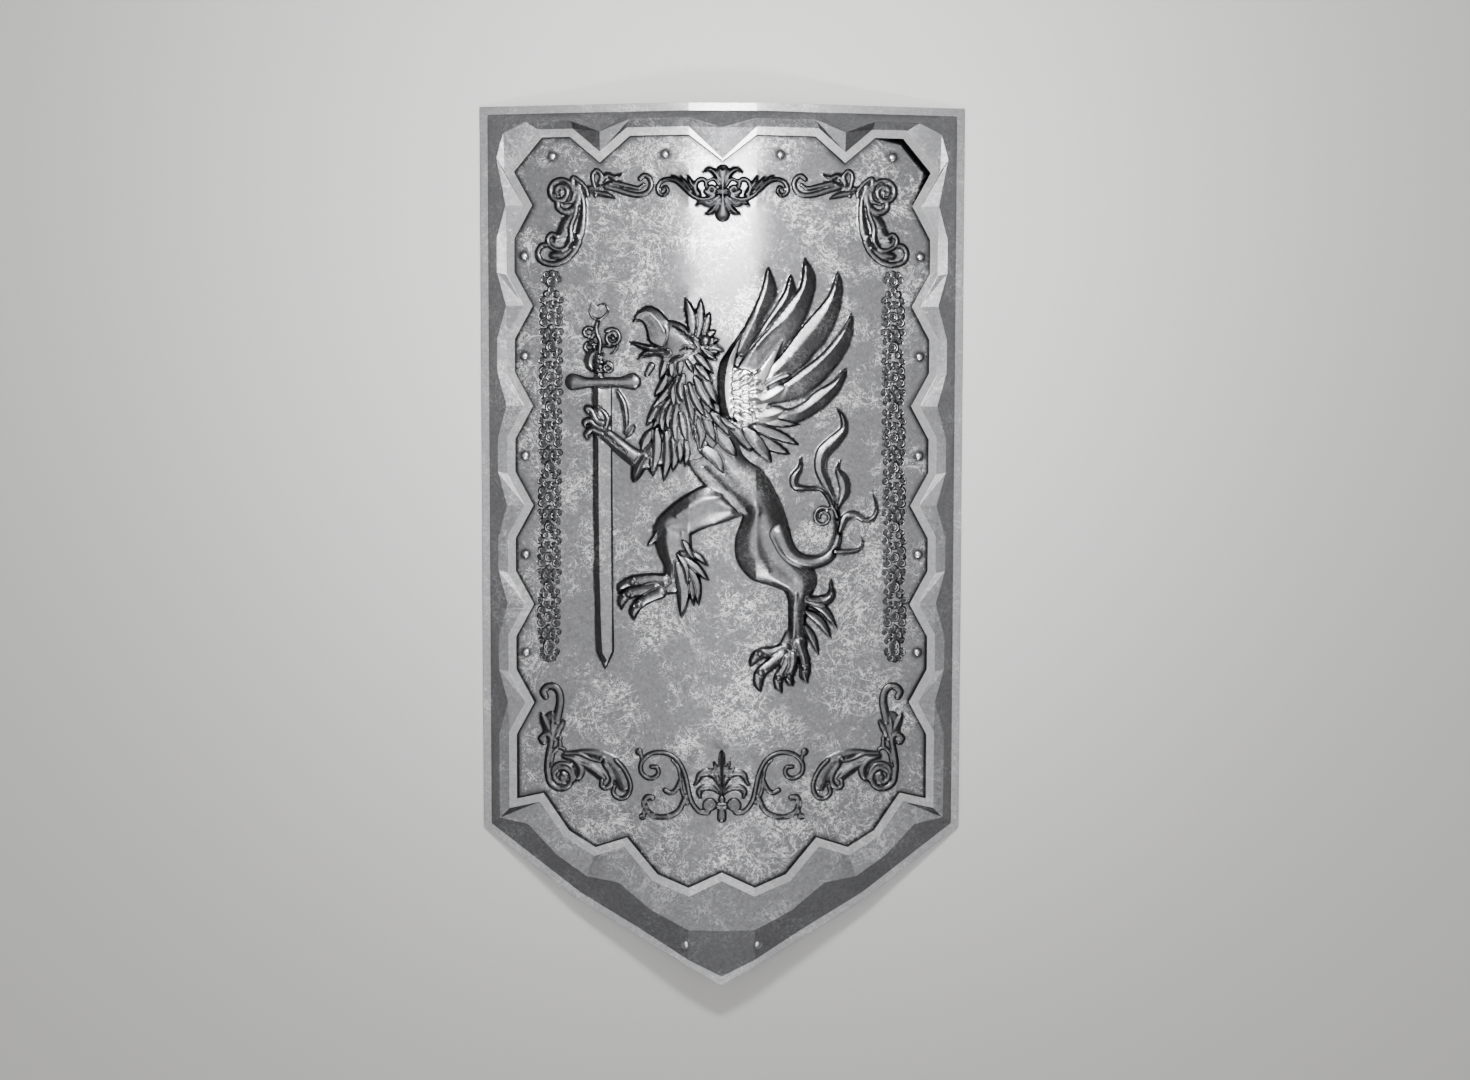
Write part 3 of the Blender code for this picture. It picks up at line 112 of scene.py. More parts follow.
TAIL = (0.0042, 0.0014)     # radius and height of a rivet's flat tail
RIVET_SIDES = 24

GRID = 0.0010               # step of the grid that the carving is drawn on
UNIT = 0.005                # unit of all the carved forms
FOLD_SOFT = 0.028           # the plate's bend is spread this far to each side of a fold
BESIDE_FOLDS = (-FOLD - FOLD_SOFT, -FOLD + FOLD_SOFT, FOLD - FOLD_SOFT, FOLD + FOLD_SOFT)
RIVET_SHADE = (0.0062, 0.0100)      # painted shade round a rivet's head, full and gone
STEP_SHADE = 0.0075         # width of the painted shadow along the frame, thinning out
ROUNDING = 0.0010           # of the frame's edges
LEAST_RISE = 0.0018         # least height of a form over those that it lies on
GROOVE_DEPTH = 0.0030       # from its crown down to the groove round it
WALL_RUN = 0.0028           # width of the steep side of a carved form
WALL_SHARES = {"lock": 0.36, "ridge": 0.6, "claw": 0.6}     # its most, of the form's half width
FLESH_WALL = 0.0040         # width of a muscle's steep side
FLESH_BULGE = 1.7           # how full a muscle's sides stand out
# Height at a form's edge and from there to its ridge, as shares of its crown
FOOT_AND_RISE = {"lock": (0.76, 0.24), "ridge": (0.42, 0.58), "claw": (0.35, 0.65)}
LOCK_RIDGE = 0.2            # a lock's ridge lies this far to one side, of its half width
BLENDING = 5                # power by which muscles run into one another
SOFT_FROM = 0.002           # muscles are rounded off from this far inside their edges,
SOFT_RUN = 0.005            # fully after this much more
CARVED_WIDTH = 0.262        # half width of the grid, and its lower and upper ends
CARVED_ENDS = (-0.430, 0.520)
FAR = 9.0                   # beyond the grid as a distance, beyond a form's edge as a share
ORNAMENT_AXES = (-0.55, -0.1)       # of the upper and the lower corners, in units
ORNAMENT_WIDER = 1.25       # the ornaments' widths and crowns are multiplied by these
ORNAMENT_LOWER = 0.78
ORNAMENT_EDGE = 0.0016      # the ornaments' dark colour grows from nothing over this width
MIDDLE_ORNAMENT = 0.075     # half width of the darker ornaments on the middle line
HOLLOW_FULL = 0.0032        # depth under its surroundings at which a hollow is quite dark
STEEP_FROM = 0.60           # slope from which a side gets painted shade, and how much more makes it quite dark
STEEP_RUN = 1.1
RIVET_HOLE = 0.003          # radius of the plate's holes
HALF_SHEET = 0.00075        # half the plate's thickness, about which a hole leans
HOLE_SIDES = 16
HOLE_NEAR = 0.01            # only triangles this near to a hole's middle can lie in it
WELD = 1e-6                 # points closer than this are one; closer still for the face and the back
TOUCHING = 1e-7
WELL_INSIDE = 0.35          # points closer to a form's edge are left out, in steps of the grid
MARGIN_STEPS = (1.2, 3.2)   # margin round the forms, in the same steps
ON_FORM = 0.0003            # points closer to a form's edge stay level with the sheet
FOLD_ENDS = (0.002, 0.001)  # how far the points on a fold keep from its two ends
FOLD_STEP = 0.0015          # from one to the next of them, and of those beside the folds
BESIDE_STEP = 0.018
SHARP_CARVING = 38          # degrees over which an edge of the carving stays sharp
SHARP_SMALL = 45            # the same on rivets and filigree
ROUNDED_OVER = 8            # degrees over which an edge of the frame is rounded
CARVED_POINTS = 91000       # points that the plate's face is made of
STRIP_TOP = (-0.2145, 0.336)        # middle line of the left filigree strip, from top to bottom
STRIP_FOOT = (-0.2203, -0.131)
BLOSSOM_TOP = 0.292         # the topmost blossom of a strip, and the step from one to the next
BLOSSOM_STEP = 0.0758
BLOSSOMS = 6
WIRE = 0.0007               # radius of the strips' wire, and the height that it lies at
WIRE_LEVEL = 0.0013
LACE_LEVEL = 0.0009         # height of the ground under the wires; each boss a hair over the last
LACE_STEP = 0.00003
DROP_LEVEL = 0.0024         # height of the small drops between the wires
BOSS_ROOT = 0.0002          # how deep a boss reaches into the plate
BOSS_SHAPE = ((0.0, 1.0), (0.55, 0.86), (0.9, 0.45))        # shares of its radius and height, from its top


def datum(x):
    """Height of the folded surface that the whole shield follows."""
    return DROP * (1 - np.clip((np.abs(x) - FOLD) / (HALF - FOLD), 0, None))


# Carved forms, in units: a path, half widths along it, a crown in millimetres and a section

def curve(points, steps=7):
    """Smooth curve through the points."""
    p = np.array(points, float)
    q = np.vstack([2 * p[0] - p[1], p, 2 * p[-1] - p[-2]])
    out = []
    for a, b, c, d in zip(q[:-3], q[1:-2], q[2:-1], q[3:]):
        for t in np.arange(steps) / steps:
            out.append(0.5 * (2 * b + (c - a) * t + (2 * a - 5 * b + 4 * c - d) * t ** 2
                              + (3 * b - a - 3 * c + d) * t ** 3))
    out.append(p[-1])
    return np.array(out)


def limb(points, widths, crown, section="round"):
    """A form with a half width at each point of its path."""
    return (points, widths, crown, section)


def leaf(points, width, crown, root=0.6, section="ridge"):
    """A ridged form that swells from its root and runs out to a point."""
    shares = (root, 0.75 + 0.25 * root, 1, 0.96, 0.82, 0.52, 0.05)
    return (points, [width * s for s in shares] + [None], crown, section)


def cord(points, width, crown, end=0.9):
    """A scroll stem, thinned or swelled towards its end."""
    return (points, [width, width * (1 + end) / 2, width * end, None], crown, "round")


def vane(left, right, ridge, crown, feet=(0.66, 0.30), section="vane"):
    """A form between two edges that meet at its tip, with its ridge and the height of its two feet."""
    return (np.vstack([curve(left), curve(right)[::-1]]), (curve(ridge), feet), crown, section)


def coil(x, y, start, end, angle, turns):
    """Points of a spiral round a centre, from one radius to another, nine to a turn."""
    count = int(abs(turns) * 9) + 3
    points = []
    for i in range(count):
        t = i / (count - 1)
        radius = start + (end - start) * t
        a = math.radians(angle + 360 * turns * t)
        points.append((x + radius * math.cos(a), y + radius * math.sin(a)))
    return points


def bead(x, y, radius, crown):
    return ([(x, y), (x, y - 0.01)], [radius, radius], crown, "round")


def lock_row(rows, crown, lift=0.0):
    """Locks given by root, bend, tip and half width; a root higher up lifts its lock over the others."""
    return [leaf([(a, b), (c, d), (e, f)], width, crown + lift * b, section="lock")
            for a, b, c, d, e, f, width in rows]


def stouter(forms, wider, higher):
    """The forms again, their widths and crowns multiplied."""
    return [(points, [w and w * wider for w in widths], crown * higher, section)
            for points, widths, crown, section in forms]


def both_sides(forms, axis=0.0):
    """The forms set off from their axis, and the same again as its mirror image."""
    out = []
    for side in (1, -1):
        for points, widths, crown, section in forms:
            out.append(([(side * (p[0] - axis), p[1]) for p in points], widths, crown, section))
    return out


def sword():
    forms = [
        vane([(-27.5, 41), (-27.4, 0), (-27.2, -25.0), (-27.4, -26.4), (-28.4, -28.7), (-29.4, -31.0)],
             [(-32.6, 41), (-32.3, 0), (-31.9, -25.0), (-31.6, -26.4), (-30.5, -28.7), (-29.4, -31.0)],
             [(-31.1, 41), (-30.9, 0), (-30.3, -24.0), (-29.6, -27.0)], 5.6, (0.46, 0.24)),
        limb([(-30.9, 49), (-30.9, 43)], [1.3, 1.3], 4.5),
        limb([(-37.4, 42), (-34, 41.8), (-29.8, 41.9), (-25.5, 41.9), (-22.4, 42.1)],
             [2.2, 1.35, 1.3, 1.35, 2.2], 6.0),
        bead(-27.4, 53, 0.8, 4.6),
        cord(coil(-33.6, 54.3, 1.5, 0.9, 300, 0.95), 0.65, 4.6),
        cord(coil(-33.4, 50.8, 1.4, 0.9, 60, -0.95), 0.65, 4.6),
        cord(coil(-27.6, 53.0, 2.2, 1.0, 130, -1.3), 0.65, 4.6),
        cord([(-33.2, 51.4), (-30.6, 51.2), (-27.6, 50.8)], 0.5, 4),
        leaf([(-32, 49.6), (-33.2, 48), (-33.2, 46), (-31.6, 44.3)], 1.3, 3.6),
        cord(coil(-28.7, 45.6, 1.3, 0.7, 100, -1.2), 0.55, 4),
        cord([(-30.8, 49.6), (-30.6, 52), (-31.6, 55), (-31, 57.6)], 0.7, 4.4),
        cord([(-31.2, 57.4), (-32.6, 58.2), (-33.3, 59.8), (-32.8, 61.6)], 0.45, 2.8, 0.6),
        cord([(-31, 57.4), (-29.4, 58.4), (-28.6, 60), (-29.6, 61.4), (-31.2, 61)], 0.45, 2.8, 0.6),
        cord([(-26.2, 51), (-26.8, 49.8), (-28, 49)], 0.5, 3.4, 0.5),
        leaf([(-26.2, 39.8), (-24.6, 36.4), (-24.0, 32), (-24.4, 27.6)], 1.0, 3.0),
        leaf([(-22.0, 31), (-23, 29.4), (-24.2, 27.6)], 0.9, 3.4),
    ]
    for turn in range(5):
        forms.append(cord([(-32, 43.9 + 1.1 * turn), (-29.8, 44.3 + 1.1 * turn)], 0.28, 4.9))
    return forms


def foreleg():
    forms = [
        limb([(-31.6, 30.6), (-29, 28.6), (-26, 26.2), (-23.2, 24), (-20.6, 22.6), (-17.5, 23.5), (-14, 26)],
             [1.7, 1.9, 2.1, 2.2, 2.5, 3.2, 3.6], 7.2),
        limb([(-30.6, 30.4), (-27.6, 27.6), (-24.2, 24.6)], [0.7, 0.8, 0.6], 8.0, "ridge"),
        leaf([(-19.6, 23), (-21, 20.4), (-22.2, 16.8)], 1.7, 5.5, 0.9),
        leaf([(-18, 22.5), (-17.6, 20.6), (-17.2, 18.3)], 0.9, 4.5, 0.9),
        limb([(-29.4, 30.4), (-28.7, 32.6), (-29.6, 34.4), (-31.4, 36)], [1.0, 0.9, 0.8, 0.3], 7.4),
    ]
    for x, y, bx, by in ((-33.9, 35.0, -31.6, 32.4), (-34.4, 31.6, -31.8, 31.0), (-34.0, 28.6, -31.6, 29.6)):
        forms.append(limb([(bx + 1.6, by - 0.6), (bx, by), ((x + bx) / 2, (y + by) / 2 + 0.9), (x, y + 0.3),
                           (x + 0.1, y - 1.0)],
                          [1.0, 1.05, 1.1, 1.05, 0.3], 7.6))
    return forms


def body():
    """Muscles that run into one another; the feet of a form drawn downwards are its right and left."""
    return [
        vane([(-11, 31), (-9.4, 23), (-5, 16.4), (1.0, 11.4), (6.6, 6.6), (9.6, 0.6), (13, -3.6),
              (17, -7.4), (18.2, -11.6), (18.2, -27)],
             [(3, 34), (5.0, 24.6), (9.8, 20.4), (12.8, 16), (15.2, 11), (16.8, 6), (18, 1.6), (20, -2.6),
              (23.4, -5.2), (24.0, -8.6), (22.4, -12.4), (21.3, -18), (21.8, -23.4), (20.6, -27)],
             [(-3, 30), (1.0, 22.6), (6.4, 16.0), (10.0, 11), (12.0, 5.0), (13.8, -0.4), (17.2, -4.6),
              (20.2, -8.6), (19.6, -14), (19.4, -20), (19.2, -26)], 9.6, (0.12, 0.24), "flesh"),
        vane([(6, 12.4), (4.6, 7.6), (3.0, 2.4), (3.6, -3.0), (7.4, -7.6), (13.6, -9.8), (16.0, -11.6),
              (16.4, -17), (16.4, -23.4), (14.6, -27)],
             [(10, 13.4), (13.8, 8), (15.0, 3), (15.6, -1), (18.4, -5), (21.8, -9), (21.0, -13),
              (20.2, -18), (20.4, -23.4), (19, -27)],
             [(8, 11), (8.8, 6), (8.2, 1), (10, -3.4), (14.2, -7.2), (18.0, -10.0), (18.4, -15),
              (18.2, -20), (17.2, -26)], 9.8, (0.46, 0.10), "flesh"),
        vane([(-17.6, 5.0), (-15.6, 8.8), (-10.4, 13.2), (-4.8, 16.4), (-1.6, 15.6), (2.0, 12.4), (5.6, 8.6)],
             [(-8.0, 3.4), (-4.4, 5.2), (0, 6.6), (5.6, 8.6)],
             [(-14, 6.4), (-8, 10.0), (-3, 12.0), (2, 10.4)], 9.6, (0.40, 0.22), "flesh"),
        vane([(-17.6, 6.4), (-17.2, 2.4), (-15.9, -1.6), (-14.6, -4.6), (-15.4, -8)],
             [(-7.6, 5.4), (-7.4, 1), (-7.2, -3), (-8.8, -6.4), (-10.8, -8.6)],
             [(-13, 5.0), (-12.6, 1), (-12.0, -3), (-12.8, -7.4)], 8.4, (0.30, 0.30), "flesh"),
        limb([(18.2, -22.4), (16.8, -25.4), (16.2, -28.4)], [2.9, 2.9, 2.0], 7.0),
        limb([(-12.6, -8.6), (-16.2, -9.2), (-19.4, -10.2)], [2.6, 2.4, 1.5], 6.5),
    ]


def muscles():
    """Swellings and hollows over the body: haunch, flank, belly, thigh, shins."""
    return [
        limb([(8.6, 9.0), (7.6, 4.0), (8.2, -1.0), (11.4, -5.0)], [1.0, 2.6, 2.8, 1.0], 1.2, "swell"),
        limb([(-4.6, 20.4), (0.0, 15.8), (4.4, 11.6), (6.4, 9.4)], [1.2, 1.6, 1.6, 1.0], -1.6, "swell"),
        limb([(0.6, 21.6), (5.6, 15.4), (9.2, 9.6)], [1.0, 2.2, 1.0], 1.0, "swell"),
        limb([(-0.6, 13.6), (-6.0, 12.0), (-11.4, 8.8)], [0.9, 2.4, 0.9], 1.4, "swell"),
        limb([(-13.9, 5.0), (-13.9, 1.4), (-12.8, -2.6)], [0.9, 1.9, 0.7], 1.3, "swell"),
        limb([(-10.0, 4.4), (-9.6, 0.4), (-9.6, -3.6)], [0.6, 1.5, 0.6], 1.0, "swell"),
        limb([(18.6, -11), (18.1, -16), (18.0, -22)], [0.7, 1.3, 0.7], 1.2, "swell"),
    ]


def claws():
    toes = (
        ([(-14.5, -7.6), (-18.5, -7.4), (-22.6, -8.1), (-25.2, -9.4), (-26.1, -11.3)], 1.35),
        ([(-17.0, -9.8), (-20.6, -10.4), (-23.6, -11.2), (-25.2, -13.0), (-25.2, -15.4)], 1.35),
        ([(-15.6, -10.8), (-18.6, -12.2), (-21.0, -13.8), (-22.2, -15.8), (-22.1, -18.1)], 1.35),
        ([(16.2, -24.8), (12.8, -25.6), (9.6, -26.0), (7.9, -27.6), (7.2, -29.4)], 1.35),
        ([(15.4, -26.4), (12.4, -28.6), (9.8, -30.8), (9.1, -33.4), (9.8, -36.0)], 1.45),
        ([(16.8, -27.4), (15.6, -30.0), (14.3, -32.2), (14.2, -34.4), (15.2, -36.3)], 1.25),
        ([(18.0, -26.4), (17.8, -29.2), (16.9, -31.8), (17.1, -33.4), (17.9, -34.4)], 1.15),
        ([(19.4, -23.6), (20.5, -27.0), (21.0, -29.8), (20.8, -32.0), (21.8, -33.9)], 1.35),
    )
    forms = []
    for path, w in toes:
        # Broad at the root, and pointed
        forms.append(limb(path, [w * 1.3, w * 1.15, w * 1.15, w * 0.95, 0.15], 6.6, "claw"))
        forms.append(bead(path[2][0], path[2][1], w * 0.85, 7.4))
    return forms


def fur():
    forms = lock_row((
        (-10.4, -0.6, -6.4, -1.4, -3.2, -4.2, 1.1),
        (-10.6, -1.6, -6.8, -4.2, -3.1, -7.8, 1.4),
        (-10.2, -3.4, -6.8, -7.6, -5.8, -14.2, 1.5),
        (-10.6, -3.2, -7.9, -9.0, -7.0, -14.4, 1.3),
        (-11.2, -3.4, -9.8, -10.4, -10.2, -17.3, 1.9),
        (-9.6, 2.2, -8.2, -0.4, -6.6, -2.6, 1.1),
        (-11.0, -1.0, -9.0, -4.6, -8.4, -9.4, 1.0),
        (21.4, -13.2, 25.6, -15.2, 29.3, -20.4, 1.3),
        (21.2, -15.6, 24.6, -18.0, 27.8, -22.9, 1.4),
        (21.0, -19.2, 22.8, -22.4, 24.5, -26.6, 1.2),
        (-16.2, 4.5, -17.2, 2.6, -18.9, 0.9, 0.9),
    ), 8.0)
    forms.append(limb([(21.6, -12.4), (25, -13), (27.4, -11.6), (27.4, -7.6)], [1.0, 1.7, 1.3, 0.15], 5.2,
                      "ridge"))
    return forms


def tail():
    return [
        limb([(14.5, 4), (16.6, -0.4), (19.6, -2.6), (23.4, -3.1), (26.8, -1.7), (28.8, 1.6), (29.3, 5.4),
              (28.9, 9), (28.2, 12.4)], [2.6, 2.2, 1.9, 1.75, 1.65, 1.35, 1.1, 0.9, 0.8], 5.0),
        limb([(28.2, 12.2), (26.3, 16), (24.6, 20.4), (25.3, 24.4), (28, 27.2), (30.5, 30.2),
              (30.1, 33.4), (28.4, 35.8)], [0.8, 1.3, 1.6, 1.9, 1.8, 1.2, 0.7, 0.1], 4.4, "ridge"),
        limb([(29.2, 10.8), (30.7, 14.4), (30.4, 17.4), (29.0, 20), (29.7, 22.8)], [0.7, 1.5, 1.6, 0.8, 0.1],
             4.0, "ridge"),
        limb([(27.8, 10.6), (26.2, 13.8), (24.2, 15.3), (21.2, 15.4), (18.3, 15.9), (18.0, 18.2),
              (19.5, 20.8), (19.5, 23.8)], [0.7, 0.7, 0.75, 0.75, 1.15, 1.25, 0.8, 0.1], 4.0, "ridge"),
        cord([(29.0, 8.0), (28.0, 10.4)] + coil(25.4, 8.2, 2.5, 0.9, 60, 1.35), 0.6, 4.0, 0.8),
        limb([(29.6, 4.5), (31, 8.0), (33.4, 8.6), (35.6, 7.4), (38.0, 7.8), (39.0, 10.4), (37.8, 14.6)],
             [0.8, 1.2, 1.2, 0.8, 0.9, 0.6, 0.1], 3.2, "ridge"),
        limb([(28.6, -0.6), (31.4, -0.6), (34.2, -0.2), (35.5, 1.4), (34.8, 3.6)], [0.9, 0.8, 0.7, 0.4, 0.1],
             2.8, "ridge"),
    ]


def mane():
    """Separate pointed locks over a swelling neck, the upper ones lying over the lower."""
    return [limb([(-8.5, 50), (-9.8, 44), (-9.6, 37), (-8.2, 30)], [4.0, 5.0, 6.4, 7.4], 6.0)] + lock_row((
        (-17.6, 29.8, -19.2, 27.2, -20.1, 24.6, 1.5),
        (-16.4, 30.2, -16.4, 24.6, -17.3, 18.6, 1.6),
        (-14.0, 29.4, -13.6, 24.6, -14.7, 16.9, 1.6),
        (-12.4, 28.2, -11.8, 24.2, -12.4, 19.4, 1.5),
        (-11.0, 27.4, -10.6, 24.4, -10.4, 21.4, 1.1),
        (-9.2, 27.2, -8.8, 24.4, -9.3, 20.6, 1.1),
        (-7.0, 29.0, -4.6, 26.2, -2.8, 23.2, 1.6),
        (-5.4, 25.8, -2.0, 23.2, 0.7, 18.8, 2.0),
        (-1.8, 30.2, 0.8, 26.8, 3.7, 23.1, 2.1),
        (2.2, 31.6, 5.0, 28.6, 7.2, 24.6, 2.0),
        (5.6, 30.2, 8.8, 26.6, 12.4, 21.8, 2.1),
        (-14.6, 38.6, -16.8, 34.6, -19.2, 30.8, 1.5),
        (-12.8, 38.0, -15.4, 33.8, -17.6, 29.4, 1.3),
        (-14.6, 34.8, -15.2, 32.0, -14.4, 28.8, 1.1),
        (-12.6, 36.4, -13.6, 33.0, -13.4, 29.6, 1.1),
        (-11.2, 36.6, -12.0, 31.0, -11.2, 26.0, 1.3),
        (-10.4, 34.2, -9.8, 30.4, -8.7, 26.6, 1.2),
        (-8.2, 36.8, -7.4, 32.4, -7.2, 28.0, 1.2),
        (-6.6, 33.4, -5.2, 29.0, -5.6, 24.6, 1.5),
        (-4.6, 34.6, -3.2, 30.4, -1.3, 26.6, 1.7),
        (-2.6, 34.2, 0.2, 31.4, 2.0, 28.2, 1.7),
        (-0.4, 33.4, 1.6, 31.4, 4.4, 30.4, 1.2),
        (-11.2, 43.2, -14.4, 38.8, -18.4, 34.4, 1.2),
        (-13.8, 43.4, -15.2, 40.8, -17.1, 38.1, 1.2),
        (-11.6, 42.0, -12.4, 39.0, -11.8, 35.2, 1.2),
        (-9.6, 43.6, -10.5, 39.8, -8.8, 35.6, 1.5),
        (-9.2, 41.0, -8.0, 36.0, -6.8, 30.6, 1.5),
        (-8.2, 41.6, -6.4, 36.8, -3.4, 32.3, 1.5),
        (-6.8, 43.2, -4.8, 38.8, -1.6, 34.4, 1.6),
        (-4.8, 43.6, -3.2, 40.0, -1.0, 36.2, 1.5),
        (-13.2, 49.2, -14.2, 46.6, -15.6, 42.1, 1.3),
        (-12.6, 47.6, -12.8, 45.0, -12.4, 42.6, 1.1),
        (-10.4, 47.8, -10.6, 45.4, -10.8, 43.0, 1.2),
        (-9.0, 47.4, -8.0, 45.8, -7.1, 44.0, 1.0),
        (-6.6, 46.2, -4.4, 43.8, -2.2, 41.5, 1.2),
        (-7.2, 49.4, -4.6, 46.6, -2.0, 43.9, 1.3),
        (-5.2, 50.6, -3.2, 48.6, -1.0, 47.3, 1.1),
        (-4.2, 51.6, -2.6, 49.9, -0.6, 48.6, 1.1),
    ), 5.0, 0.105)


def head():
    crest = ((-4.6, 50.6, -2.2, 50.6, 0.6, 49.6, 1.3), (-5.0, 51.6, -2.8, 52.2, -0.6, 52.6, 1.2),
             (-5.4, 52.4, -3.2, 53.8, -1.4, 54.9, 1.2), (-5.6, 52.8, -4.2, 56.2, -3.1, 59.5, 1.5),
             (-6.2, 53.2, -5.6, 58.2, -5.4, 63.0, 1.5), (-7.4, 54.0, -7.8, 58.4, -9.4, 63.2, 1.5))
    return lock_row(crest, 6.4) + [
        bead(-4.2, 52.2, 1.9, 7.4),
        # Skull, then the beak over it; the feet of a form drawn leftwards are its lower and upper
        vane([(-5.2, 49.6), (-7.4, 53.9), (-9.5, 56.4), (-12.4, 57.4), (-15.0, 57.6)],
             [(-5.2, 49.6), (-9.0, 47.6), (-12.2, 46.8), (-15.0, 47.6), (-16.0, 50.4), (-15.0, 57.6)],
             [(-8.2, 50.6), (-10.6, 52.4), (-13.6, 54.0)], 8.8, (0.55, 0.30), "flesh"),
        vane([(-13.0, 57.2), (-14.2, 58.4), (-15.8, 60.0), (-18.5, 61.0), (-21.3, 59.4), (-22.6, 56.4)],
             [(-13.0, 57.2), (-13.4, 53.2), (-15.0, 50.4), (-17.6, 51.2), (-18.6, 52.4), (-19.0, 54.2),
              (-19.7, 56.2), (-20.9, 57.0), (-22.6, 56.4)],
             [(-14.4, 54.4), (-16.2, 57.2), (-18.6, 59.3), (-20.6, 58.9), (-22.0, 57.4)], 9.6, (0.74, 0.40)),
        leaf([(-14.6, 49.9), (-17.8, 50.3), (-20.6, 51.1), (-23.8, 52.2)], 0.9, 5.6, 0.8),
        leaf([(-13.6, 49.2), (-17.2, 49.4), (-19.6, 48.8), (-21.4, 47.2)], 1.2, 6.4, 0.9),
        leaf([(-12.4, 55.8), (-10.2, 54.4), (-7.8, 52.2), (-5.8, 49.8)], 0.75, 10.2),
        leaf([(-11.0, 49.6), (-8.6, 50.4), (-6.2, 49.4)], 0.85, 10.6, 0.3), bead(-8.8, 50.2, 0.45, 11.2),
        leaf([(-13.2, 47.0), (-11.2, 48.2), (-9.0, 48.4)], 0.9, 9.8),
        limb([(-18.9, 43.9), (-17.7, 46.0)], [0.85, 1.05], 3.8),
    ]


def wing():
    """Flight feathers from the uppermost down, each lying over the one above, then coverts and shoulder."""
    forms = [
        vane([(2.4, 48.4), (4.2, 53.4), (7.5, 60), (9.5, 65), (10.6, 69.4), (11.3, 70.8)],
             [(5.6, 48.0), (9.5, 55.6), (12.5, 60.8), (13.4, 63.4), (13.2, 66.4), (11.3, 70.8)],
             [(4.0, 49.4), (8.4, 58.5), (10.8, 65), (11.4, 69.6)], 5.8),
        vane([(5.4, 48.6), (10, 56.5), (13, 61), (15.2, 64.6), (16.3, 68), (17, 69)],
             [(8.0, 48.6), (13, 56.5), (17, 61.5), (18.3, 64.2), (17.9, 66.6), (17, 69)],
             [(6.8, 49.4), (12, 57.4), (15.6, 62.4), (17, 67.6)], 5.4),
        vane([(2.6, 43.0), (4.6, 47.5), (8, 52), (12, 56.5), (18, 64), (19.5, 67), (19.8, 70), (20.3, 73.2)],
             [(10.6, 43.0), (13.4, 47.4), (16.5, 51.5), (19.5, 55.5), (20.8, 57.8), (22.3, 62),
              (23.2, 66), (22.8, 69.4), (20.3, 73.2)],
             [(5.4, 44.6), (7.6, 49.5), (11.4, 54), (16.0, 58), (19.0, 62.5), (20.7, 67), (20.7, 71.6)], 6.4),
        vane([(8.6, 41.6), (12.2, 46.4), (15.5, 50.3), (19, 55), (22, 58.5), (25.8, 63), (27.6, 67),
              (28.8, 70.3)],
             [(12.6, 39.6), (17, 43.4), (20.5, 46), (23, 49), (25, 51), (27, 54), (28.8, 58), (29.8, 62),
              (30, 66), (28.8, 70.3)],
             [(10.6, 41.4), (14.2, 45.4), (17.2, 48.4), (20.4, 52.2), (23.9, 56.5), (26.4, 60.5),
              (28.0, 65), (28.7, 69.2)], 6.8),
        vane([(10, 40.1), (14, 41.3), (16.4, 42.8), (20, 45.5), (24.5, 49), (28, 53), (31, 57), (32.4, 60.1)],
             [(13, 36.4), (20, 38.0), (24, 41), (27, 44), (30, 48), (32.3, 52.5), (32.8, 56.5), (32.4, 60.1)],
             [(12, 38.8), (17, 41.2), (22.2, 45.0), (26.9, 49.5), (30.2, 54), (32.1, 58.6)], 7.1),
        vane([(10.5, 36.2), (14, 36.3), (16.5, 35.5), (20, 37), (23, 39.7), (27, 42), (29.5, 44.4),
              (31, 45.9)],
             [(12, 32.5), (16, 31.4), (20, 32.3), (24, 34.5), (27, 37), (29.6, 40.2), (31.2, 44), (31, 45.9)],
             [(13, 34.6), (17, 34.1), (20.7, 35.2), (24.8, 38.2), (28.2, 41.4), (30.6, 45.2)], 7.3),
    ]
    forms += lock_row((
        (8.4, 33.2, 13.6, 31.9, 19.6, 31.4, 1.3), (8.0, 30.8, 14.0, 28.7, 19.6, 26.2, 1.5),
        (7.4, 29.0, 12.2, 26.2, 17.2, 23.9, 1.7), (6.8, 35.2, 10.2, 34.0, 13.4, 33.6, 1.2),
    ), 4.8)
    return forms + coverts() + [
        vane([(2.8, 31.2), (-0.4, 33.6), (-1.4, 40.2), (-0.9, 46.2), (1.6, 50.4), (4.0, 53.8), (6.2, 57.2)],
             [(2.8, 31.2), (3.4, 36), (2.8, 41), (3.2, 46), (4.4, 50.6), (6.2, 57.2)],
             [(1.8, 33.6), (0.8, 38), (0.8, 43), (1.9, 48.2), (4.6, 53.6)], 9.4, (0.16, 0.86)),
    ]


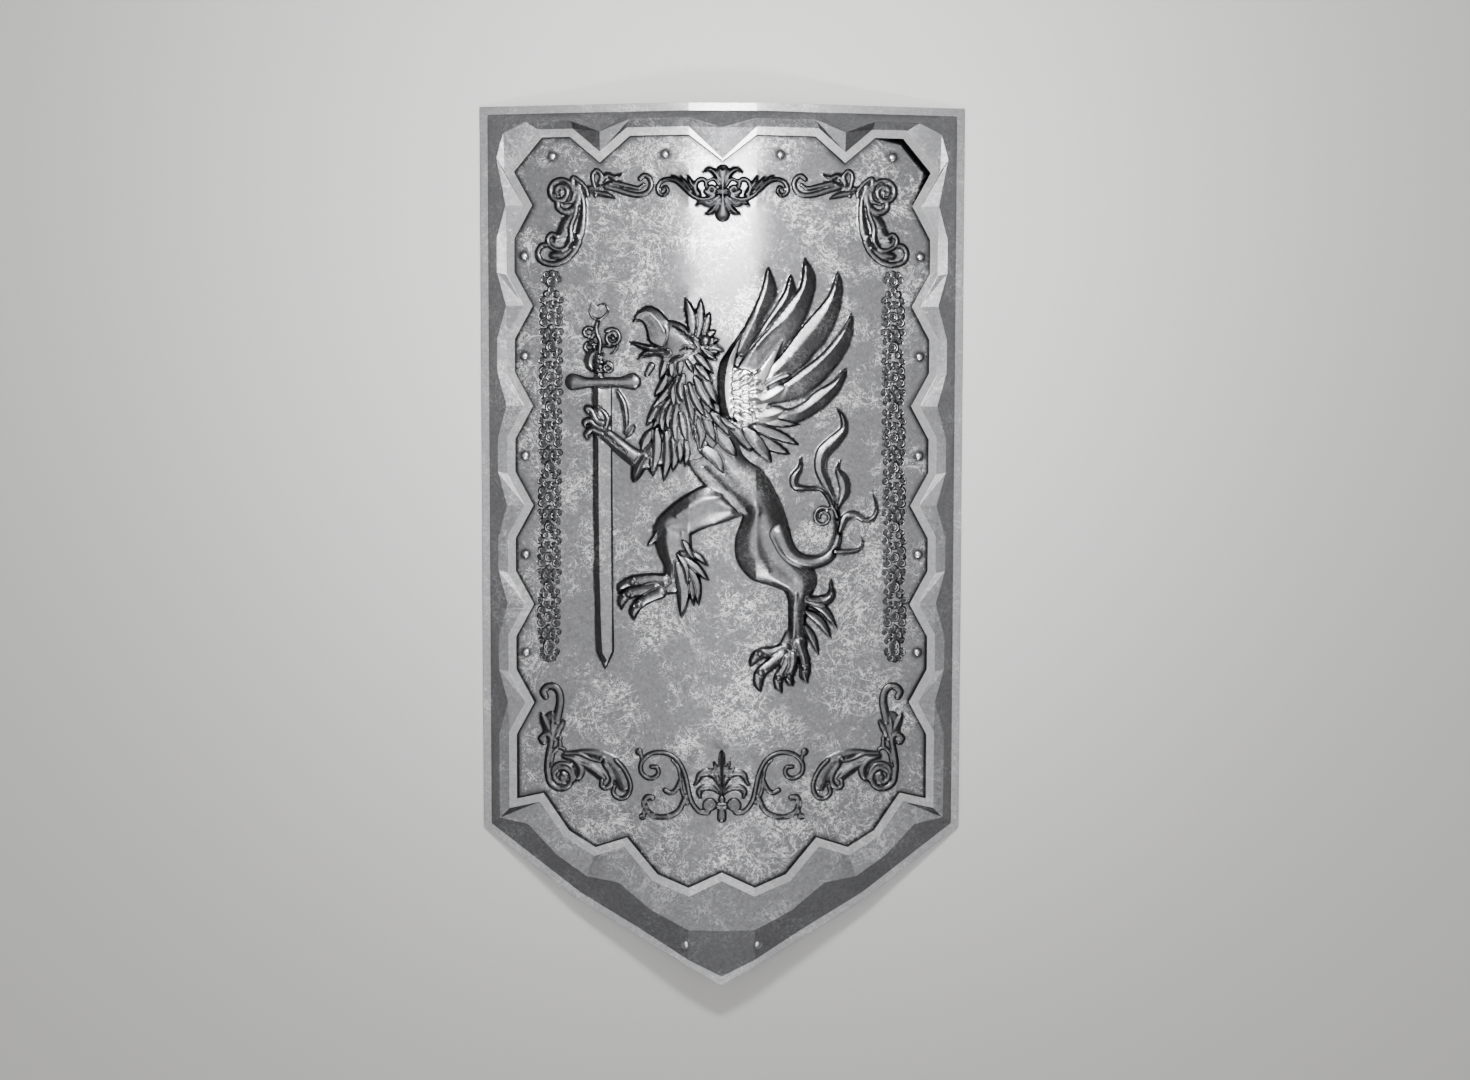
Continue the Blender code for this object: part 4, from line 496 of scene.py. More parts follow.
def coverts():
    """The shoulder, and the short feathers over the roots of the long ones."""
    return [
        vane([(2.0, 46.4), (0.9, 41), (1.6, 35), (3.6, 31.2)],
             [(6.6, 45.6), (10.6, 42.4), (12.2, 38), (10.6, 33.4), (6.4, 30.4), (3.6, 31.2)],
             [(5.5, 44), (6.6, 39), (6.4, 34)], 7.4, (0.75, 0.75), "flesh"),
        vane([(5.9, 41.6), (9.9, 46.7), (12.6, 50.2), (14.5, 52.3), (15.2, 53.6)],
             [(10.7, 41.2), (12.4, 45.0), (14.1, 48.8), (15.2, 51.6), (15.2, 53.6)],
             [(8.4, 42.4), (11.6, 47.4), (14.2, 51.6)], 8.8, (0.88, 0.84)),
        vane([(9.8, 41.4), (13, 43.6), (16.0, 44.6), (17.6, 43.9)],
             [(10.4, 39.8), (13.6, 41.4), (16.2, 42.6), (17.6, 43.9)],
             [(10.6, 40.8), (14, 42.6), (16.8, 43.7)], 8.0),
        vane([(6.5, 38.9), (10.3, 39.9), (13.7, 41.6), (16.4, 41.5)],
             [(6.9, 34.8), (11.1, 35.9), (14.5, 37.4), (16.4, 41.5)], [(7.6, 37), (11.4, 37.9), (15.4, 40.4)],
             8.4),
        vane([(7.6, 34.6), (10.4, 35.6), (13.4, 36.1), (16.4, 35.3)],
             [(7.6, 31.6), (10.4, 31.2), (13.6, 32.2), (16.4, 35.3)], [(8.6, 33.2), (12, 33.6), (15.4, 34.9)],
             8.6),
    ]


def scales():
    """Low bumps in three columns over the shoulder, turning with the feathers."""
    forms = []
    for column, (x, count) in enumerate(((2.6, 6), (4.8, 6), (7.0, 5))):
        for i in range(count):
            y = 43.6 - 2.1 * i - 1.0 * (column % 2)
            turn = math.radians(30 - 12 * i)
            path = [(x + run * math.cos(turn), y + run * math.sin(turn)) for run in (0, 1.2, 2.5)]
            forms.append(limb(path, [0.8, 1.05, 0.35], 1.9, "swell"))
    return forms


def corner_top():
    """Acanthus corner of the upper left."""
    return [
        cord(coil(-41.2, 89.4, 0.9, 3.3, 200, -1.55)
             + [(-38.0, 92.7), (-36, 91.6), (-34.6, 89.8), (-34.3, 88.4)], 0.72, 4.4, 0.8),
        bead(-41.1, 89.3, 0.85, 4.6),
        bead(-36.9, 78.4, 0.5, 5.0),
        bead(-37.9, 75.6, 0.6, 5.0),
        bead(-32.3, 88.3, 0.5, 3.6),
        cord([(-36.9, 90.6), (-36.7, 87.6), (-37.8, 85.2), (-40, 84.4), (-41.7, 85.4), (-41.9, 87.0)],
             0.95, 4.2, 0.7),
        cord([(-37.6, 89.2), (-38.2, 87.2), (-40.2, 86.5)], 0.7, 4.6, 0.5),
        limb([(-36.2, 90.4), (-35.4, 87), (-35.4, 83), (-36, 79.4), (-37.2, 76.4)], [0.6, 0.8, 0.9, 1.1, 1.0],
             3.8, "ridge"),
        limb([(-36.6, 88.4), (-37.2, 84.4), (-38.6, 80.6), (-38.6, 77.4), (-40, 75.2)],
             [0.5, 0.8, 0.9, 0.9, 0.5], 4.4, "ridge"),
        limb([(-37.8, 84), (-39.6, 81.6), (-40.6, 79), (-42.4, 77.4)], [0.8, 1.3, 1.3, 0.7], 3.6, "ridge"),
        cord([(-42.0, 78.2), (-43.4, 78.9), (-44.4, 77.6), (-43.8, 76.0), (-41.8, 75.0), (-39.8, 75.4),
              (-38.6, 77)], 0.62, 4.6, 0.8),
        cord([(-36.4, 77), (-37.6, 74.6), (-40, 72.4), (-43, 71.4), (-46, 72.2), (-46.9, 74.2), (-46, 76),
              (-44.4, 76.2)], 0.72, 4.2),
        limb([(-38.2, 75.2), (-40.6, 73.8), (-43.2, 73.6)], [0.9, 1.2, 0.8], 3.4, "ridge"),
        cord([(-31.2, 91.4), (-30.8, 93.2), (-32, 94.5), (-33.0, 93.4), (-32.8, 91.6), (-32.4, 90.2)],
             0.62, 3.6, 0.8),
        leaf([(-30.8, 91.4), (-29.4, 93.2), (-27.4, 92.7), (-25.0, 93.8)], 0.75, 3.2),
        leaf([(-34.2, 90.2), (-31.6, 90.2), (-28.6, 91.2), (-25.6, 91.9)], 0.8, 3.2),
        leaf([(-33.4, 89.4), (-30.6, 88.8), (-28.6, 88.2), (-26.6, 87.3)], 0.8, 3.2),
        cord([(-29.6, 90.6), (-26.8, 89.7), (-24.2, 88.8), (-21.6, 88.3), (-19.3, 88.9), (-18.3, 90.6),
              (-18.7, 92.3), (-20.0, 93.1), (-21.1, 92.3)], 0.72, 3.8, 0.8),
        cord([(-27.8, 91.4), (-24.4, 90.6), (-21.6, 90.0), (-20.2, 90.8)], 0.62, 3.4, 0.8),
    ]


def corner_bottom():
    return [
        cord([(-45.0, -37.8), (-45.6, -36.6), (-44.6, -35.4), (-43.0, -35.2), (-41.6, -36.4),
              (-41.2, -38.8), (-41.6, -41.4), (-42.2, -44)], 0.78, 4.0, 1.25),
        limb([(-43.3, -43.4), (-43.3, -47)], [1.6, 2.0], 3.0),
        leaf([(-43.8, -46.8), (-45.0, -44.4), (-46.1, -41.8)], 1.1, 3.8, 0.8),
        leaf([(-42.2, -47.4), (-41.2, -45.4), (-39.8, -43.4)], 1.0, 3.8, 0.8),
        leaf([(-43.2, -47.6), (-43.4, -45), (-43.0, -42.6)], 0.8, 4.4, 0.8),
        bead(-45.6, -49.2, 0.95, 4.4),
        bead(-40.9, -58.6, 0.8, 4.6),
        bead(-41.3, -48.5, 0.62, 3.8),
        bead(-41.3, -49.8, 0.62, 3.8),
        cord([(-46.2, -48.6), (-45.2, -47.7), (-43.9, -47.9), (-43.6, -49.6), (-44.2, -52.4), (-44.6, -55.6)]
             + coil(-41.0, -58.3, 3.5, 0.8, 170, 1.7), 0.74, 4.4),
        cord(coil(-41.0, -57.6, 2.3, 3.4, 180, -0.62), 0.6, 4.0),
        cord([(-43.6, -54.4), (-43.0, -52.2), (-41.6, -50.8), (-40.2, -51.2)], 0.6, 4.0, 0.8),
        limb([(-40.4, -53.0), (-37.8, -53.8), (-36.0, -56.0), (-36.4, -58.2), (-38.2, -58.9)],
             [0.5, 0.9, 1.1, 0.9, 0.5], 4.2, "ridge"),
        cord([(-40, -52.2), (-36.6, -52.2), (-33.6, -53.4), (-31.2, -53.9), (-30.6, -52.9),
              (-29.7, -53.4), (-29.8, -54.8)], 0.5, 4.2),
        limb([(-38.6, -51.8), (-34.8, -51.8), (-31.2, -52.4), (-28.2, -54.2), (-26.0, -57.0), (-25.0, -60)],
             [0.3, 0.8, 1.2, 1.7, 1.8, 1.3], 3.2, "ridge"),
        cord([(-27.0, -53.6), (-24.8, -56.0), (-23.4, -59), (-23.4, -61.4), (-24.6, -63.1),
              (-26.4, -63.3), (-27.7, -62.0), (-27.4, -60.4)], 0.55, 4.2, 1.0),
        cord([(-29.8, -54.8), (-28.5, -56.8), (-28.0, -59), (-29.4, -60.8), (-30.6, -60.4), (-30.6, -59)],
             0.7, 4.0, 0.8),
        limb([(-36.4, -54.6), (-33.4, -55.8), (-31.2, -57.4), (-29.8, -58.4)], [0.6, 1.0, 1.0, 0.6],
             3.8, "ridge"),
    ]


def crown_half():
    s = [
        leaf([(0.6, 91), (1.8, 93.4), (3.4, 94.4), (5.4, 93.4)], 0.75, 3.8),
        cord([(0.9, 90.6), (2.1, 92.0), (3.5, 91.6)], 0.5, 3.8, 0.8),
        cord([(4.1, 90.4), (4.2, 91.5), (5.3, 92.0), (6.5, 91.2), (6.8, 89.6), (6.2, 88.2)], 0.55, 4.0, 1.2),
        cord(coil(2.9, 89.4, 0.5, 1.3, 20, 0.9)
             + [(2.1, 88.0), (3.5, 87.2), (5.5, 87.1), (7.5, 88.0), (9.5, 89.8), (11.3, 91.4),
                (13.3, 92.1), (15.1, 91.6), (16.1, 90.2), (15.9, 88.8), (14.7, 88.2), (13.7, 89.0),
                (14.1, 90.1), (14.9, 89.6)], 0.62, 4.4, 0.85),
        leaf([(0.5, 87.6), (1.7, 85.4), (2.9, 84.0), (4.6, 83.3)], 0.95, 3.8),
        leaf([(0.9, 88.0), (2.9, 86.1), (5.3, 86.4), (7.0, 85.2)], 0.9, 3.8),
        limb([(0, 90), (0, 92), (0, 93.8)], [0.6, 0.9, 1.55], 4.6),
        limb([(0, 88), (0, 86), (0, 83.4)], [0.5, 0.8, 1.6], 4.6),
        cord([(-1.4, 89.4), (1.4, 89.4)], 0.35, 5.0), cord([(-1.4, 88.6), (1.4, 88.6)], 0.35, 5.0),
    ]
    for a, b, c in (((5.7, 88.2), (7.6, 90.6), (8.8, 93.3)), ((7.5, 88.8), (9.5, 91.2), (10.5, 93.1)),
                    ((9.3, 90.0), (11.3, 91.8), (12.8, 93.2))):
        s.append(leaf([a, b, c], 0.8, 4.0))
    return s


def base_half():
    return [
        cord(coil(2.9, -64.5, 0.4, 1.5, 90, -1.4)
             + [(3.6, -66.4), (5.8, -66.0), (7.7, -63.5), (8.6, -60), (9.4, -56.6), (11.0, -53.4),
                (13.4, -51.7), (16.2, -51.3), (18.8, -52.2), (20.4, -54.2), (20.4, -56.4), (19.0, -57.8),
                (17.2, -57.8), (16.1, -56.6), (16.4, -55.2), (17.8, -55)], 0.62, 3.8, 0.85),
        cord([(8.8, -64), (10.1, -61), (10.5, -58), (11.1, -55), (12.6, -53.2)], 0.5, 3.2, 0.6),
        cord([(9.2, -62.4), (10.8, -65.8), (13.2, -67.4), (16.2, -67.7), (18.6, -66.6), (19.6, -64.6),
              (19.0, -62.9), (17.6, -62.9)], 0.62, 3.8, 1.1),
        cord([(10.4, -58), (11.6, -60.6), (13.0, -61.5), (14.4, -60.9)], 0.5, 3.4, 1.2),
        bead(21.0, -51.3, 0.85, 3.6),
        cord([(20.5, -51.8), (20.2, -54)], 0.45, 3.2),
        bead(20.1, -67.8, 0.8, 3.6),
        cord([(19.8, -67.4), (19.4, -65.4)], 0.45, 3.2),
        limb([(0.4, -60), (1.6, -57.4), (3.6, -56.2), (5.4, -56.8), (6.2, -58.4), (6.8, -59.2)],
             [0.4, 0.8, 1.0, 0.9, 0.6, 0.5], 3.4, "ridge"),
        limb([(0.4, -61.6), (2.2, -60.2), (4.2, -59.9), (5.7, -61.0), (5.4, -62.6)],
             [0.4, 0.8, 0.9, 0.8, 0.4], 3.4, "ridge"),
        leaf([(0.3, -59.0), (1.8, -56.4), (3.8, -54.6)], 0.7, 4.0),
        leaf([(0.3, -57.6), (1.5, -54.8), (2.3, -52.8)], 0.6, 4.6),
        limb([(0, -62), (0, -57), (0, -53.4), (0, -51.6), (0, -50.4)], [0.4, 0.6, 0.8, 0.7, 0.1],
             5.6, "ridge"),
        bead(0, -63.0, 0.8, 4.6), limb([(0, -65.0), (0, -66.6), (0, -67.8)], [0.6, 1.0, 1.0], 4.2),
        cord([(-1, -64.2), (1, -64.2)], 0.4, 4.4), cord([(-1, -65.2), (1, -65.2)], 0.4, 4.4),
    ]


def section_height(across, section):
    """Height of a form from its left edge at -1 to its right edge at 1, as a share of its crown."""
    if section == "round":
        return np.sqrt(np.clip(1 - across ** 2, 0, 1))
    if section == "swell":
        return np.clip(1 - across ** 2, 0, 1) ** 2
    inner = np.clip(1 - np.abs(across), 0, 1)
    if section == "lock":
        inner = np.where(across < LOCK_RIDGE, (across + 1) / (1 + LOCK_RIDGE),
                         (1 - across) / (1 - LOCK_RIDGE))
    elif section == "claw":
        inner = np.sqrt(inner)
    foot, rise = FOOT_AND_RISE[section]
    return foot + rise * inner


def to_step(x, y, a, b):
    """How far along the line from a to b each point lies, how far from it, and on which hand."""
    d = b - a
    t = np.clip(((x - a[0]) * d[0] + (y - a[1]) * d[1]) / max(d @ d, 1e-12), 0, 1)
    return t, np.hypot(x - a[0] - t * d[0], y - a[1] - t * d[1]), d[0] * (y - a[1]) - d[1] * (x - a[0])


def to_line(x, y, line):
    """Distance of each grid point to a line of points, and on which hand of it the point lies."""
    nearest = np.full(x.shape, FAR)
    hand = np.zeros(x.shape)
    for a, b in zip(line[:-1], line[1:]):
        gap, side = to_step(x, y, a, b)[1:]
        closer = gap < nearest
        nearest = np.where(closer, gap, nearest)
        hand = np.where(closer, side, hand)
    return nearest, np.sign(hand)


def inside(loop, x, y):
    """Which points lie inside a closed loop."""
    result = np.zeros(x.shape, bool)
    for (xa, ya), (xb, yb) in zip(loop, np.roll(loop, -1, axis=0)):
        crosses = (ya > y) != (yb > y)
        result ^= crosses & (x < xa + (y - ya) * (xb - xa) / (yb - ya if yb != ya else 1e-12))
    return result


def eased(share):
    """Runs from 0 to 1 with a soft start and end."""
    share = np.clip(share, 0, 1)
    return share * share * (3 - 2 * share)


class Relief:
    """Height of the carving over the plate, and depth inside the forms' edges, on a square grid."""

    def __init__(self):
        self.xs = np.arange(-CARVED_WIDTH, CARVED_WIDTH + GRID / 2, GRID)
        self.ys = np.arange(CARVED_ENDS[0], CARVED_ENDS[1] + GRID / 2, GRID)
        self.height = np.zeros((len(self.ys), len(self.xs)))
        self.depth = np.full(self.height.shape, -1.0)

    def window(self, path, margin):
        """The part of the grid round a path, and its points."""
        i0, i1 = np.searchsorted(self.xs, (path[:, 0].min() - margin, path[:, 0].max() + margin))
        j0, j1 = np.searchsorted(self.ys, (path[:, 1].min() - margin, path[:, 1].max() + margin))
        x, y = np.meshgrid(self.xs[i0:i1], self.ys[j0:j1])
        return slice(j0, j1), slice(i0, i1), x, y

    def stroke(self, form):
        """Where a form lies, its height there and the depth inside its edge; the form follows a path."""
        points, widths, crown, section = form
        path = curve(points) * UNIT
        if widths[-1] is None:
            run = np.r_[0, np.cumsum(np.hypot(*np.diff(path, axis=0).T))]
            place = run / run[-1] * (len(widths) - 2)
            widths = widths[:-1]
        else:
            place = np.linspace(0, len(widths) - 1, len(path))
        radii = np.interp(place, np.arange(len(widths)), widths) * UNIT
        rows, columns, x, y = self.window(path, radii.max() + 4 * GRID)
        share = np.full(x.shape, FAR)
        hand = np.zeros(x.shape)
        depth = np.full(x.shape, -1.0)
        for a, b, ra, rb in zip(path[:-1], path[1:], radii[:-1], radii[1:]):
            t, gap, side = to_step(x, y, a, b)
            radius = np.maximum(ra + (rb - ra) * t, 1e-5)
            closer = gap / radius < share
            share = np.where(closer, gap / radius, share)
            hand = np.where(closer, -side, hand)
            depth = np.maximum(depth, radius - gap)
        height = section_height(np.clip(share * np.sign(hand), -1, 1), section)
        if section in WALL_SHARES:
            height = height * eased(depth / min(WALL_RUN, WALL_SHARES[section] * radii.max()))
        return rows, columns, height * crown / 1000, depth

    def vane(self, form):
        """The same for a form drawn by its two edges and its ridge."""
        edge, (ridge, feet), crown, section = form
        flesh = section == "flesh"
        edge, ridge = edge * UNIT, ridge * UNIT
        rows, columns, x, y = self.window(edge, 4 * GRID)
        to_edge = to_line(x, y, np.vstack([edge, edge[:1]]))[0]
        depth = np.where(inside(edge, x, y), to_edge, -to_edge)
        to_ridge, hand = to_line(x, y, ridge)
        share = np.clip(depth, 0, None) / (np.clip(depth, 0, None) + to_ridge + 1e-9)
        foot = np.where(hand > 0, feet[0], feet[1])
        if flesh:
            share = 1 - (1 - share) ** FLESH_BULGE
        height = (foot + (1 - foot) * share) * eased(depth / (FLESH_WALL if flesh else WALL_RUN))
        return rows, columns, height * crown / 1000, depth

    def add(self, forms, way="over"):
        """Blended forms run into one another; the others lie over what is there, a groove round each."""
        for form in forms:
            two_edged = form[3] in ("vane", "flesh")
            rows, columns, height, depth = self.vane(form) if two_edged else self.stroke(form)
            part = self.height[rows, columns]
            if way == "blend":
                part[:] = (part ** BLENDING + height ** BLENDING) ** (1 / BLENDING)
            elif way == "swell":
                part[:] = np.where(part > 0, part + height, 0)
                continue
            elif way == "apart":
                part[:] = np.maximum(part, height)
            else:
                # A form is raised until it stands over most of what it lies on
                under = np.percentile(part[depth > 0], 80) if (depth > 0).any() else 0
                height = height * max(1, (under + LEAST_RISE) / max(height.max(), 1e-9))
                groove = np.minimum(part, max(height.max() - GROOVE_DEPTH, 0))
                part[:] = np.where(depth > 0, np.maximum(height, groove), part)
            self.depth[rows, columns] = np.maximum(self.depth[rows, columns], depth)

    def soften(self, reach):
        """Rounds off the forms, their outer edges left as they are."""
        smooth = blurred(blurred(self.height, reach), reach)
        self.height += (smooth - self.height) * eased((self.depth - SOFT_FROM) / SOFT_RUN)

    def at(self, field, x, y):
        """Value of one of the grid's fields at any points."""
        fx = np.clip((x - self.xs[0]) / GRID, 0, len(self.xs) - 1.001)
        fy = np.clip((y - self.ys[0]) / GRID, 0, len(self.ys) - 1.001)
        i, j = fx.astype(int), fy.astype(int)
        u, v = fx - i, fy - j
        return (field[j, i] * (1 - u) * (1 - v) + field[j, i + 1] * u * (1 - v)
                + field[j + 1, i] * (1 - u) * v + field[j + 1, i + 1] * u * v)


def blurred(field, reach):
    """Mean over a square window, by running sums."""
    for axis in (0, 1):
        border = [(0, 0), (0, 0)]
        border[axis] = (reach + 1, reach)
        total = np.cumsum(np.pad(field, border, mode="edge"), axis=axis)
        size = 2 * reach + 1
        high = np.take(total, range(size, total.shape[axis]), axis=axis)
        field = (high - np.take(total, range(0, total.shape[axis] - size), axis=axis)) / size
    return field


# Loops of the rim, right half from the top centre round to the tip

def lower_edge(x):
    """Height of the outer edge at x, between the side's lower corner and the tip."""
    return float(np.interp(abs(x), (0, KINK[0], HALF), (-TOP, KINK[1], SIDE_END)))


def foot_wave(places, least, middle):
    """Points of the opening or the crest over the lower edge, from the side to the middle."""
    shares = [(across * HALF, multiple) for across, multiple in places] + [(FOLD, FOOT_FOLD), (0.0, middle)]
    return [(x, lower_edge(x) + multiple * least) for x, multiple in shares]


def scallop_rows():
    """Heights of the scallop points and of the two ends of each bay between them."""
    for i in range(SIDE_SCALLOPS):
        peak = TOP - (FIRST_SCALLOP + i) * PITCH
        yield peak, peak - PITCH / 3, peak - 2 * PITCH / 3


def top_wave(top, middle, point):
    """Points of the opening or the crest along the top edge, from the middle."""
    return [(0, top - middle), (FOLD, top), ((TOP_PEAK - TOP_PEAK_HALF) * HALF, top),
            (TOP_PEAK * HALF, top - point), ((TOP_PEAK + TOP_PEAK_HALF) * HALF, top)]


def wavy_half(top, side, waves, corner, last_bay):
    """Points of the opening or the crest from the top centre to the foot of the side."""
    pts = top_wave(top, waves[0], waves[1])
    pts += [(side - across, top - down) for across, down in corner]
    for peak, upper, lower in scallop_rows():
        pts += [(side - waves[2], peak), (side, upper), (side, lower)]
    pts[-1] = (side, SIDE_END + last_bay)
    return pts


def opening_half():
    across, down = CHAMFER
    corner = ((across, 0), (across / 2, down / 2), (0, down))
    waves = (SCALLOP_TOP, SCALLOP_TOP, SCALLOP_SIDE)
    pts = wavy_half(TOP - BORDER_TOP, HALF - BORDER_SIDE, waves, corner, LAST_BAY)
    return pts + foot_wave(FOOT_OPENING, BORDER_FOOT, FOOT_MIDDLES[0])


def crest_half():
    pts = wavy_half(TOP - CREST_TOP, HALF - CREST_SIDE, CREST_WAVES, CREST_CORNER, CREST_LAST_BAY)
    return pts + foot_wave(FOOT_CREST, CREST_FOOT, FOOT_MIDDLES[1])


def outline_half():
    """Outer edge, one point for each point of the crest."""
    def mix(a, b, t):
        return (a[0] + (b[0] - a[0]) * t, a[1] + (b[1] - a[1]) * t)

    pts = [(x, TOP) for x, y in crest_half()[:5]]
    pts += [(HALF - OUTLINE_CORNER[0], TOP), (HALF, TOP), (HALF, TOP - OUTLINE_CORNER[1])]
    for row in scallop_rows():
        pts += [(HALF, y) for y in row]
    corner, tip = (HALF, SIDE_END), (0, -TOP)
    pts[-1] = corner
    pts += [mix(corner, KINK, share) for share in CORNER_TO_KINK] + [KINK]
    pts += [mix(KINK, tip, share) for share in KINK_TO_TIP]
    return pts + [mix(KINK, tip, 1 - FOLD / KINK[0]), tip]


def whole(half):
    """The right half and its mirror image, as one loop."""
    return np.array(half + [(-x, y) for x, y in half[-2:0:-1]])


def offset(loop, distance):
    """Loop moved to its left by a distance, with mitred corners; a clockwise loop grows."""
    before = loop - np.roll(loop, 1, axis=0)
    after = np.roll(loop, -1, axis=0) - loop
    before /= np.linalg.norm(before, axis=1)[:, None]
    after /= np.linalg.norm(after, axis=1)[:, None]
    left_a = np.stack([-before[:, 1], before[:, 0]], 1)
    left_b = np.stack([-after[:, 1], after[:, 0]], 1)
    mitre = (left_a + left_b) / (1 + (left_a * left_b).sum(1))[:, None]
    moved = loop + mitre * distance
    on_fold = np.abs(np.abs(loop[:, 0]) - FOLD) < 1e-9
    moved[on_fold, 0] = loop[on_fold, 0]
    return moved


def flange_loop(opening):
    """Inner edge of the flange: straight runs a little inside the scallop points."""
    side = HALF - BORDER_SIDE - SCALLOP_SIDE - FLANGE_REACH
    top = TOP - BORDER_TOP - SCALLOP_TOP - FLANGE_REACH
    foot = foot_wave(FOOT_OPENING, BORDER_FOOT, FOOT_MIDDLES[0])
    x = np.clip(opening[:, 0], -side, side)
    ends = [foot[-1][1] + FLANGE_REACH, foot[0][1] + FLANGE_REACH]
    peak = max(y + FLANGE_REACH - np.interp(across, (FOLD, side), ends) for across, y in foot)
    floor = np.interp(np.abs(x), (FOLD, side), ends) + max(peak, 0)
    return np.stack([x, np.clip(opening[:, 1], floor, top)], 1)


def contours(relief):
    """Closed loops along the edge of the forms, traced through the grid's cells."""
    depth = relief.depth
    within = depth > 0
    follow, where = {}, {}

    def crossing(j, i, up):
        name = (j, i, up)
        a = depth[j, i]
        b = depth[j + 1, i] if up else depth[j, i + 1]
        # Kept clear of the grid's own points
        t = min(max(a / (a - b), 0.05), 0.95) * GRID
        where[name] = (relief.xs[i] + (0 if up else t), relief.ys[j] + (t if up else 0))
        return name

    mixed = within[:-1, :-1] * 1 + within[:-1, 1:] + within[1:, :-1] + within[1:, 1:]
    for j, i in np.argwhere((mixed > 0) & (mixed < 4)):
        corners = [within[j, i], within[j, i + 1], within[j + 1, i + 1], within[j + 1, i]]
        lines = [(j, i, False), (j, i + 1, True), (j + 1, i, False), (j, i, True)]
        enter = [lines[k] for k in range(4) if corners[k] and not corners[(k + 1) % 4]]
        leave = [lines[k] for k in range(4) if not corners[k] and corners[(k + 1) % 4]]
        for a, b in zip(enter, leave):
            follow[crossing(*a)] = crossing(*b)
    loops = []
    while follow:
        here = next(iter(follow))
        loop = []
        while here in follow:
            loop.append(where[here])
            here = follow.pop(here)
        # Specks are dropped, and long loops keep every second point
        if len(loop) > 5:
            loops.append(loop[::2] if len(loop) > 12 else loop)
    return loops


def mesh_object(name, verts, faces, materials=(), indices=None):
    mesh = bpy.data.meshes.new(name)
    mesh.from_pydata([tuple(map(float, v)) for v in verts], [], faces)
    for material in materials:
        mesh.materials.append(material)
    if indices is not None:
        mesh.polygons.foreach_set("material_index", indices)
    obj = bpy.data.objects.new(name, mesh)
    bpy.context.scene.collection.objects.link(obj)
    return obj


def point_values(mesh, name, values):
    """One number, or one vector, for each point of a mesh."""
    values = np.array(values, np.float32)
    kind, key = ("FLOAT", "value") if values.ndim == 1 else ("FLOAT_VECTOR", "vector")
    mesh.attributes.new(name, kind, "POINT").data.foreach_set(key, values.ravel())


def rivet_places():
    """Feet of the rivets on the field, then of the two on the band near the tip."""
    side = HALF - BORDER_SIDE - RIVET_INSET
    places = [(across * HALF, TOP - RIVET_DEPTH) for across in RIVET_ACROSS]
    places += [(side, TOP - (FIRST_SCALLOP + i - 0.5) * PITCH) for i in range(1, SIDE_SCALLOPS)]
    height = lower_edge(TIP_RIVET[0]) + TIP_RIVET[1]
    return [(s * x, y) for s in (-1, 1) for x, y in places], [(s * TIP_RIVET[0], height) for s in (-1, 1)]


def lean_at(x):
    """Angle by which the folded surface leans there."""
    return 0.0 if abs(x) <= FOLD else math.copysign(math.atan2(DROP, HALF - FOLD), x)


def ring(x, y, radius, sides, lean=0.0):
    """Points of a circle seen from the front, on a surface that leans."""
    angles = [2 * math.pi * (i + 0.5) / sides for i in range(sides)]
    return [(x + radius * math.cos(a) * math.cos(lean), y + radius * math.sin(a)) for a in angles]


def carve():
    """The carving from the body up: each form lies over those before it."""
    relief = Relief()
    relief.add(body(), "blend")
    relief.soften(2)
    relief.add(muscles(), "swell")
    relief.add(sword() + tail() + wing())
    relief.add(scales(), "swell")
    relief.add(claws() + fur() + foreleg() + mane() + head())
    # Painted highlight: the shoulder coverts painted nearly white
    polished = Relief()
    polished.add(coverts())
    relief.polish = blurred((polished.height > 0) * 1.0, 2)
    figure = relief.height > 0
    upper, lower = ORNAMENT_AXES
    ornaments = both_sides(corner_top(), upper) + both_sides(corner_bottom(), lower)
    ornaments += both_sides(crown_half()) + both_sides(base_half())
    relief.add(stouter(ornaments, ORNAMENT_WIDER, ORNAMENT_LOWER), "apart")
    middle = (np.abs(relief.xs)[None, :] < MIDDLE_ORNAMENT) & (relief.ys[:, None] > 0)
    relief.ornament = (~figure) * eased(relief.depth / ORNAMENT_EDGE) * np.where(middle, 1.0, 0.5)
    return relief


def carving_points(relief, limit):
    """Grid points inside the forms: all where the height turns sharply, a third each way elsewhere."""
    h = relief.height
    bend = np.zeros_like(h)
    bend[2:-2, 2:-2] = np.abs(h[2:-2, 2:-2] * 4 - h[4:, 2:-2] - h[:-4, 2:-2] - h[2:-2, 4:] - h[2:-2, :-4])
    deep = relief.depth > WELL_INSIDE * GRID
    coarse = np.zeros(h.shape, bool)
    coarse[::3, ::3] = True
    ranked = np.sort(bend[deep & ~coarse])[::-1]
    spare = limit - int((deep & coarse).sum())
    least = ranked[min(spare, len(ranked) - 1)]
    # Every second point of a narrow margin round the forms
    margin = np.zeros(h.shape, bool)
    margin[::2, ::2] = True
    margin &= (relief.depth < -MARGIN_STEPS[0] * GRID) & (relief.depth > -MARGIN_STEPS[1] * GRID)
    j, i = np.nonzero((deep & (coarse | (bend > max(least, 1e-5)))) | margin)
    return np.stack([relief.xs[i], relief.ys[j]], 1)


